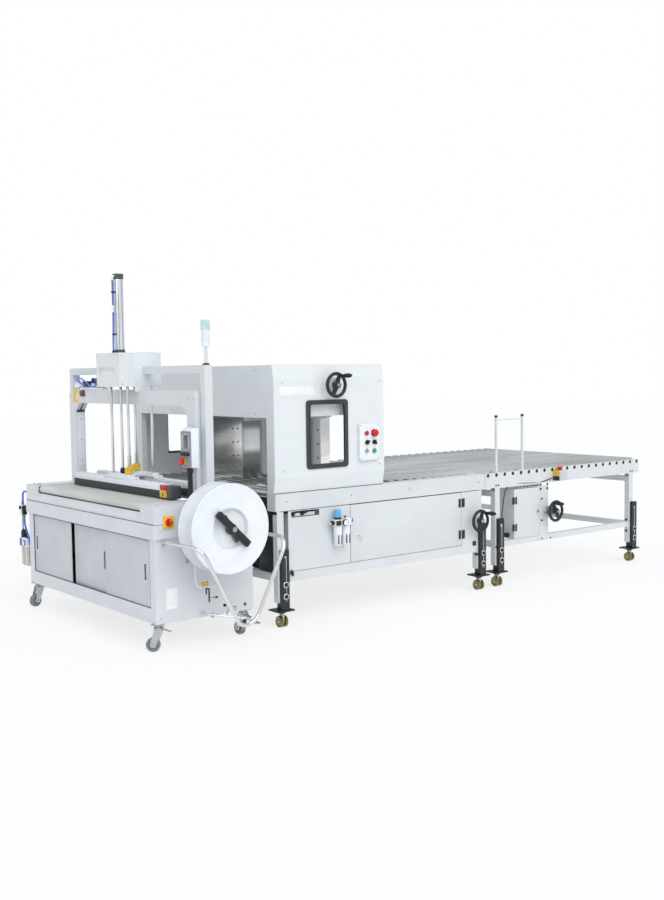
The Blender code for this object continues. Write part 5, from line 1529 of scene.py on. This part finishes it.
def makeGuide(name, side):
    g = guides
    back, front = g[side]
    away = -1 if side == "near" else 1
    sheet = block(g["left"], g["right"], back, front, g["low"], g["high"], 0.8)
    finishPiece(name + "_sheet", gate, [sheet], "stainless", name, [name])
    outer = back if away < 0 else front
    bars = []
    near, far = sorted((outer + away * 0.2, outer + away * 28))
    bars.append(block(g["left"] + 14, g["right"] - 4, near, far, 1150, 1206, 2))
    for x in g["posts"][side]:
        bars.append(block(x - 30, x + 30, near, far, 824, 1150.3, 2))
    low, high = sorted((outer + away * 1, outer + away * 110))
    sleeves = []
    for x in g["rails"]:
        sleeves.append(spun(ringed(12.6, 22, low, high), (x, 0, g["railZ"]), toBack, 32))
        bars.append(block(x - 24, x + 24, low + 12, high - 6, 1170, 1198, 2))
    finishPiece(name + "_posts", gate, bars, "palePaint", name)
    finishPiece(name + "_bearings", gate, sleeves, "aluminium", name)
    bolts = []
    for post in g["posts"][side]:
        for z in (896, 985, 1073):
            bolts.append(domeScrew((post + 8, far if away > 0 else near, z), (0, away, 0), 6))
            for x in (post - 19, post + 19):
                bolts.append(domeScrew((x, front if away < 0 else back, z), (0, -away, 0), 6, 1.8))
    for x in (g["rails"][1] + 20, g["rails"][1] + 92, g["rails"][0] - 60):
        bolts.append(domeScrew((x, far if away > 0 else near, 1180), (0, away, 0), 6))
    finishPiece(name + "_bolts", gate, bolts, "blackSteel", name)


def makeRailShine():
    # the chromed bars that the guides slide along lie inside the painted bridge's own
    bars = [spun(ringed(12.05, 12.45, 47, 1550), (x, 0, guides["railZ"]), toBack, 32)
            for x in guides["rails"]]
    finishPiece("guide_rails", gate, bars, "chrome")


# gate: cabinet, its door, recess, lock, gland

gateCabinet = {"door": (556, 1476, 2.6, 13.6, 313, 655), "lock": (611, 472), "hinges": (588, 384),
               "fixed": (104, 553.6), "slot": (128, 326, 618, 655), "knobs": ((137, 638), (205, 640))}


def hingePair(name, unit, x, y, z, wide, tall, doorSide, body):
    # a black zinc hinge: one leaf on the door, one on the frame, and the knuckle between them
    leaves = []
    for side in (-1, 1):
        low, high = sorted((x + side * (9.5 if side == doorSide else 4.5), x + side * wide / 2))
        leaf = block(low, high, y - 4.5, y - 0.2, z - tall / 2, z + tall / 2, 1)
        screws = [spun([(0, 0), (3.6, 0), (3, 1), (0, 1.2)],
                       ((low + high) / 2, y - 4.4, z + rise * tall / 3.6), toFront, 14)
                  for rise in (-1, 1)]
        leaves.append((side, leaf, screws))
    for side, leaf, screws in leaves:
        rides = body if side == doorSide else "machine"
        label = name + ("_door_leaf" if side == doorSide else "_frame_leaf")
        finishPiece(label, unit, [leaf] + screws, "blackPlastic", rides)
    middle = x - 5 * doorSide
    knuckle = rod((middle, y - 3.8, z - tall / 2 + 1), (middle, y - 3.8, z + tall / 2 - 1), 3.2, 0.6, 20)
    finishPiece(name + "_knuckle", unit, [knuckle], "blackPlastic")


def makeGateCabinet():
    c = gateCabinet
    x0, x1, y0, y1, z0, z1 = c["door"]
    door = block(x0 + 1, x1 - 1, y0 - 1.6, y1, z0 + 1, z1 - 1, 1.6)
    finishPiece("gate_cabinet_panel", gate, [door], "framePaint", "gate_cabinet_door",
                ["gate_cabinet_door"])
    for index, z in enumerate(c["hinges"]):
        hingePair("gate_hinge_" + str(index), gate, x1, 0.9, z, 52, 55, -1, "gate_cabinet_door")
    lockX, lockZ = c["lock"]
    barrel = spun([(0, 0), (12, 0), (12, 2), (9, 4), (9, 9), (8, 10), (0, 10)], (lockX, y0 - 1.7, lockZ),
                  toFront, 28)
    key = plate([(-1.4, 3), (1.4, 3), (1.4, -18), (7, -24), (7, -38), (-7, -38), (-7, -24), (-1.4, -18)], 1,
                -1, 1, 0.4)
    key = tilted(key, -38, "Y", (lockX, y0 - 17, lockZ))
    stem = rod((lockX, y0 - 11.5, lockZ), (lockX, y0 - 17, lockZ), 1.6, 0, 12)
    finishPiece("gate_lock", gate, [barrel, key, stem], "chrome", "gate_cabinet_door")
    sx0, sx1, sz0, sz1 = c["slot"]
    stops = [block(sx1 - 26, sx1 - 0.4, 3, 9, sz0 + 0.4, sz1 - 0.4, 1),
             block(sx0 + 0.4, sx1 - 0.4, 3, 9.6, sz0 + 0.3, sz0 + 3.5, 0.5)]
    finishPiece("gate_slot_ends", gate, stops, "darkPlastic")
    # the fixed sheet beside the door, and dark strips round the sheets that paint the shade in their seams
    outer = roundedRectangle(c["fixed"][0], c["fixed"][1], z0 + 1, z1 + 0.5, 2, 3)
    opening = roundedRectangle(sx0, sx1, sz0, sz1 - 3, 1.5, 3)
    finishPiece("gate_fixed_panel", gate, [framePlate(outer, opening, 0.5, 1.9)], "framePaint")
    finishPiece("gate_panel_painted_shade_lines", gate, [block(*c["fixed"], 0.9, 1.8, z0 - 1.4, z0 + 0.8, 0.2),
                                           block(x0 - 2, x0 + 0.8, 0.9, 1.8, z0, z1, 0.2)], "darkRubber")
    plugs = [spun([(0, 0), (13, 0), (13, 10), (11, 14), (8, 14), (8, 20), (0, 20)], (x, 8, z), toFront, 28)
             for x, z in c["knobs"]]
    plugs.append(rod((205, -13, 640), (231, -13, 644), 4.2, 1, 16))
    finishPiece("gate_slot_plugs", gate, plugs, "blackPlastic")
    gland = [spun([(0, 0), (10, 0), (10, 6), (7, 8), (7, 18), (0, 18)], (128, 1.9, 306), (0, -0.5, -0.9),
                  20),
             block(114, 128, -6, 1.8, 296, 322, 1.5)]
    finishPiece("gate_gland", gate, gland, "blackPlastic")
    brackets = [block(1576, 1606, -1.5, 1.8, 300, 330, 1.5), block(1592, 1612, -14, 1.8, 236, 250, 2)]
    finishPiece("gate_leg_clips", gate, brackets, "blackPlastic")


# gate: air unit

gateAir = {"x": (431, 490), "y": -35.3, "bowlLow": 430, "bodyLow": 546, "bodyHigh": 585}


def makeGateAir():
    a = gateAir
    y = a["y"]
    left, right = a["x"]
    shells = [block(left - 31, left + 28, y - 24, y + 24, a["bodyLow"], a["bodyHigh"], 4),
              block(right - 27.6, right + 27, y - 24, y + 24, a["bodyLow"], a["bodyHigh"] + 4, 4)]
    for x in (left, right):
        shells.append(spun([(14, 0), (20, 3), (23, 10), (24.5, 60), (25.5, 116), (0, 116), (0, 8), (8, 3)],
                           (x, y, a["bowlLow"]), upright, 36))
    finishPiece("gate_air_bodies", gate, shells, "whitePlastic", stands=["gate_air_unit"])
    windows = []
    for x in (left, right):
        for shift in (-26, 26):
            slot = block(-3.5, 3.5, -25.2, -23.2, 12, 66, 3, 3)
            slot = tilted(slot, shift, "Z", (x, y, a["bowlLow"]))
            windows.append(slot)
    finishPiece("gate_air_windows", gate, windows, "darkPlastic")
    cap = [spun([(0, 0), (22, 0), (22, 8), (19, 12), (0, 12)], (left, y, a["bodyHigh"]), upright, 32)]
    cap.append(block(left - 30, left + 4, y - 31, y - 24.2, 552, 580, 2))
    cap.append(rod((left - 31, y, 566), (left - 48, y, 566), 13, 2, 24))
    cap.append(rod((right + 27, y, 566), (right + 36, y, 566), 12, 2, 24))
    cap.append(spun([(0, 0), (6, 0), (6, 8), (4, 12), (0, 12)], (right - 4, y, a["bodyHigh"] + 4), upright,
                    20))
    finishPiece("gate_air_black_fittings", gate, cap, "blackPlastic")
    knob = [spun([(0, 12.3), (18, 12.3), (19.5, 16), (19, 52), (17, 57), (10, 59), (0, 59)],
                 (left, y, a["bodyHigh"]), upright, 36)]
    knob += [turned(block(left - 1.2, left + 1.2, y + 18.4, y + 20.2, a["bodyHigh"] + 18,
                          a["bodyHigh"] + 48, 0.5), step * 20,
                    "Z", (left, y, 0)) for step in range(18)]
    finishPiece("gate_air_knob", gate, knob, "skyPlastic")
    gaugeX = 463
    body = spun([(0, 0), (18, 0), (19.5, 2), (19.5, 14), (17.5, 15.5), (16.8, 15.5), (16.8, 14), (0, 14)],
                (gaugeX, y - 24.4, 566), toFront, 36)
    finishPiece("gate_air_gauge", gate, [body], "blackPlastic")
    needle = tilted(block(-0.7, 0.7, -0.4, 0.4, -3, 12, 0.2), -40, "Y", (gaugeX, y - 39.4, 566))
    finishPiece("gate_gauge_face", gate, [rod((gaugeX, y - 38.2, 566), (gaugeX, y - 39.1, 566), 16.6, 0,
                                              36)], "label")
    finishPiece("gate_gauge_needle", gate, [needle], "blackPlastic")
    outlet = [rod((left - 48, y, 566), (left - 62, y + 4, 556), 8, 1.5, 20),
              spun([(0, 0), (9, 0), (9, 9), (6.5, 11), (0, 11)], (right + 38, y - 2, 572), (0.3, -0.3, 0.9),
                   20)]
    finishPiece("gate_air_elbows", gate, outlet, "zinc")
    elbow = spun([(0, 0), (11, 0), (11, 16), (8, 20), (0, 20)], (right + 44, y, 582), (-0.1, 0, -1), 24)
    finishPiece("gate_hose_fitting", gate, [elbow], "blackPlastic")
    mount = [block(left - 10, right + 10, y + 24.2, y + 34, 552, 582, 1.5),
             block(left + 10, right - 10, y + 33, 1.7, 556, 578, 1)]
    finishPiece("gate_air_mount", gate, mount, "zinc")
    route = [(right + 42, y, 563), (right + 38, y + 4, 536), (right + 30, y + 20, 500),
             (right + 26, -0.5, 474), (right + 26, 1.6, 468)]
    feeds["gate_air_hose"] = (gate, roundedRoute(route, 26, 6), 5, "hose", "machine")


# gate: the geared motor that turns the rollers, under their left end

gateMotor = {"middle": (118, 340, 356), "radius": 62, "length": 190}


def makeMotor():
    m = gateMotor
    x, y, z = m["middle"]
    half = m["length"] / 2
    radius = m["radius"]
    case = [spun([(0, -half), (radius - 10, -half), (radius - 6, -half + 8), (radius - 6, half - 34),
                  (radius, half - 30),
                  (radius, half), (radius - 12, half + 4), (0, half + 4)], (x, y, z), toBack, 36)]
    for step in range(18):
        fin = block(x - 1.5, x + 1.5, y - half + 12, y + half - 38, z + radius - 9, z + radius + 2, 0.6)
        case.append(turned(fin, step * 20, "Y", (x, 0, z)))
    case.append(block(x - 48, x + 40, y - 40, y + 30, z + radius - 12, z + radius + 46, 4))
    finishPiece("roller_motor", gate, case, "blackSteel")
    gearbox = [block(x - 58, x + 58, y + half + 4, y + half + 110, z - 58, z + 70, 6),
               rod((x, y + half + 60, z + 66), (x, y + half + 60, 650), 24, 2, 24)]
    finishPiece("roller_gearbox", gate, gearbox, "gearPaint")
    # the tall black box beside the cabinet's left side is painted shade over that side, and the dark drive
    # there; the other blocks hang the motor
    hanger = [block(x - 60, x + 60, y - 70, y + half + 116, 640, 650, 1.5),
              block(72, 111, 58, 236, 322, 654, 3), block(60, 70, 90, 230, 300, 640, 2),
              block(93, 111, 84, 1510, 640, 718, 2)]
    finishPiece("roller_hanger_and_shade_box", gate, hanger, "blackSteel")
    sensor = block(58, 92, 84, 122, 676, 716, 3)
    finishPiece("roller_sensor", gate, [sensor], "bluePlastic")
    finishPiece("sensor_mount", gate, [block(58, 92, 82, 126, 664, 675.5, 1)], "zinc")


# rollers, drawn in full over both beds

rollerPitch = 79.5


def makeRollers(name, unit, first, count, near, far, stands, capped):
    tubes = []
    caps = []
    shafts = []
    for index in range(count):
        x = first + rollerPitch * index
        tubes.append(spun([(8, near + 6), (23.5, near + 6), (25, near + 8), (25, far - 8), (23.5, far - 6),
                           (8, far - 6)],
                          (x, 0, 745), toBack, 24))
        for side, wall in ((1, near), (-1, far)):
            caps.append(spun(ringed(0, 7.6, 0, 5.6 * side), (x, wall, 745), toBack, 14))
            if capped:
                shafts.append(spun([(0, 0), (11, 0), (12.4, side * -4), (12.4, side * -30), (9, side * -36),
                                    (0, side * -36)],
                                   (x, wall, 745), toBack, 14))
    finishPiece(name + "_tubes", unit, tubes, "roller", stands=stands)
    finishPiece(name + "_shafts", unit, caps, "zinc")
    return shafts


makeGateCovers()
makeControlBox()
makeGuide("near_side_guide", "near")
makeGuide("far_side_guide", "far")
makeRailShine()
makeGateCabinet()
makeGateAir()
makeMotor()
for name, x, side, top in (("gate_near_left", 28, 1, 442), ("gate_near_right", 1616, 1, 440.3),
                           ("gate_far_left", 28, -1, 440.3), ("gate_far_right", 1616, -1, 440.3)):
    legSet(name, gate, x, side, top)
for place, x, y in (("near_left", 68, 27), ("near_right", 1656, 27), ("far_left", 68, 1570),
                    ("far_right", 1656, 1570)):
    twinWheel("gate_wheel_" + place, gate, (x, y, 33))
makeRollers("gate_rollers", gate, 84, 20, 80.3, 1516.7, ["gate_rollers"], False)
handwheel("height_handwheel", gate, (1588, -60, 467), 50, 75)
print("gate made")


# roller table

tableParts = {"firstRoller": 27.5, "rollers": 21, "wheel": (634.5, -58, 465),
              "stop": (707.5, -32, 738), "box": (670.5, 744.5, -62, 2, 672, 738), "posts": (130.5, 384.5)}


def makeTableRollers():
    ends = makeRollers("table_rollers", table, tableParts["firstRoller"], tableParts["rollers"], 44.3,
                       1552.7, ["table_rollers"], True)
    finishPiece("table_roller_caps", table, ends, "blackPlastic")
    marks = []
    for index in range(tableParts["rollers"]):
        x = tableParts["firstRoller"] + rollerPitch * index
        for y, out in ((-0.1, -1), (1597.1, 1)):
            marks.append(spun([(0, 0), (12, 0), (12, 1.5), (10, 2.5), (0, 2.5)], (x, y, 745), (0, out, 0),
                              18))
    finishPiece("table_beam_caps", table, marks, "blackPlastic")


def makeTableFrameTrim():
    bolts = []
    for x in (103, 126, 1543, 1567):
        bolts.append(domeScrew((x, -0.1, 676), toFront, 6.5, 3))
    for x, z in ((569, 274), (655, 272)):
        bolts.append(domeScrew((x, 7.9, z), toFront, 6, 3))
    for x in (546 + 8, 629 - 6):
        for z in (648, 618):
            bolts.append(spun(ringed(0, 8, 0, 5), (x, 9.9, z), toFront, 6))
    for z in (313, 231):
        bolts.append(spun(ringed(0, 8, 0, 8), (1532.3, 24, z), toLeft, 6))
    bolts.append(rod((103, 1.9, 268), (103, -6, 268), 6.5, 0.6, 6))
    finishPiece("table_bolts", table, bolts, "blackSteel")
    slots = [block(x - 9, x + 9, 9.2, 9.8, z - 4.5, z + 4.5, 4, 3) for x, z in ((566, 550), (566, 401))]
    finishPiece("table_plate_slots", table, slots, "darkRubber")
    rack = [block(290, 538, 2, 9.6, 640, 656, 1)]
    finishPiece("table_cabinet_hanger", table, rack, "zinc")
    holes = [block(x, x + 24, 1.2, 1.9, 645, 651, 2.4, 2) for x in range(298, 520, 34)]
    finishPiece("hanger_slots", table, holes, "darkRubber")
    caps = []
    for x in tableParts["posts"]:
        caps.append(spun([(0, 0.2), (10.5, 0.2), (10.5, 13), (9, 15), (0, 15)], (x, 24, 1121), upright, 24))
    finishPiece("fence_caps", table, caps, "blackPlastic")


def makeTableCabinet():
    door = block(280.5, 533.5, 2.2 - 1.4, 14, 301.5, 634.5, 2)
    finishPiece("table_cabinet_panel", table, [door], "framePaint", "table_cabinet_door",
                ["table_cabinet_door"])
    for index, z in enumerate((560, 378)):
        hingePair("table_hinge_" + str(index), table, 279.5, -0.6, z, 44, 48, 1, "table_cabinet_door")
    lock = [spun([(0, 0), (11, 0), (11, 2), (8, 4), (8, 7), (0, 7)], (512, 0.7, 470), toFront, 24)]
    finishPiece("table_lock", table, lock, "zinc", "table_cabinet_door")
    glands = [spun([(0, 0), (11, 0), (11, 7), (8, 9), (8, 20), (0, 20)], (258, 60, z), toLeft,
                   20) for z in (324,)]
    collar = block(258, 279.3, 44, 76, 310, 338, 2)
    finishPiece("table_glands", table, glands + [collar], "blackPlastic")


def makeTableWheel():
    x, y, z = tableParts["wheel"]
    box = [block(x - 28.5, x + 32.5, -20.6, 10, 434.4, 495.6, 4),
           spun([(0, 0), (20, 0), (20, 4), (14, 8), (10.3, 9), (0, 9)],
                                                                    (x, -20.4, z), toFront, 28)]
    finishPiece("gearbox_cover", table, box, "gearPaint")
    rods = [rod((x - 62, -10, z - 14), (x - 28, -10, z - 6), 6, 1, 16),
            rod((x - 62, -10, z - 14), (x - 62, -26, z - 14), 6, 1, 16),
            rod((x, -28, z), (x, -42, z), 10.25, 0, 24)]
    finishPiece("gearbox_shaft", table, rods, "zinc")
    handwheel("table_handwheel", table, tableParts["wheel"], 118, 118)


def makeStopBox():
    x0, x1, y0, y1, z0, z1 = tableParts["box"]
    upper = block(x0 - 1, x1 + 1, y0 + 2.2, y1 - 2.6, z0 + 30, z1 + 0.8, 3)
    lower = block(x0 - 1, x1 + 1, y0 + 2.2, y1 - 2.6, z0 - 1, z0 + 29.4, 3)
    side = block(x0 - 0.4, x1 + 1.4, y0 - 1.4, y0 + 1.8, z0 - 1, z1 - 6, 1)
    finishPiece("stop_box_lid", table, [upper], "yellowPlastic")
    finishPiece("stop_box_base", table, [lower], "blackPlastic")
    finishPiece("stop_box_side", table, [side], "palePlastic")
    bezel("table_stop_collar", table, (tableParts["stop"][0], tableParts["stop"][1], z1 + 0.9), upright,
          12.6, 21, 3.5, "redPlastic")
    mushroomButton("table_stop_head", table, tableParts["stop"], upright, "table_stop_button",
                   "table_stop_button")


def makeStopCable():
    # from the stop box along the beam's underside, then down to the cabinet's gland
    route = [(668, -30, 690), (640, -14, 686), (560, 4, 664), (430, 2, 668), (300, 3, 676), (216, 10, 664),
             (192, 14, 590), (186, 20, 500), (188, 36, 390), (204, 52, 332), (239, 60, 324)]
    feeds["stop_cable"] = (table, roundedRoute(route, 60, 6), 3.5, "cable", "machine")


makeTableRollers()
makeTableFrameTrim()
makeTableCabinet()
makeTableWheel()
makeStopBox()
makeStopCable()
for name, x, side, top in (("table_near_left", 95.5, 1, 454), ("table_near_right", 1532.5, 1, 446),
                           ("table_far_left", 95.5, -1, 440.3), ("table_far_right", 1532.5, -1, 440.3)):
    legSet(name, table, x, side, top)
for place, x, y in (("near_left", 135.5, 27), ("near_right", 1572.5, 27), ("far_left", 135.5, 1570),
                    ("far_right", 1572.5, 1570)):
    twinWheel("table_wheel_" + place, table, (x, y, 33))
print("table made")


# free hoses and cables


def declareFeeds():
    for name, (unit, route, radius, finish, body) in feeds.items():
        lead = tube(name, unit, route, radius, finish, body, smooth=5)


declareFeeds()
print("hoses and cable declared:", len(feeds))


# a last update of the scene

bpy.context.view_layer.update()
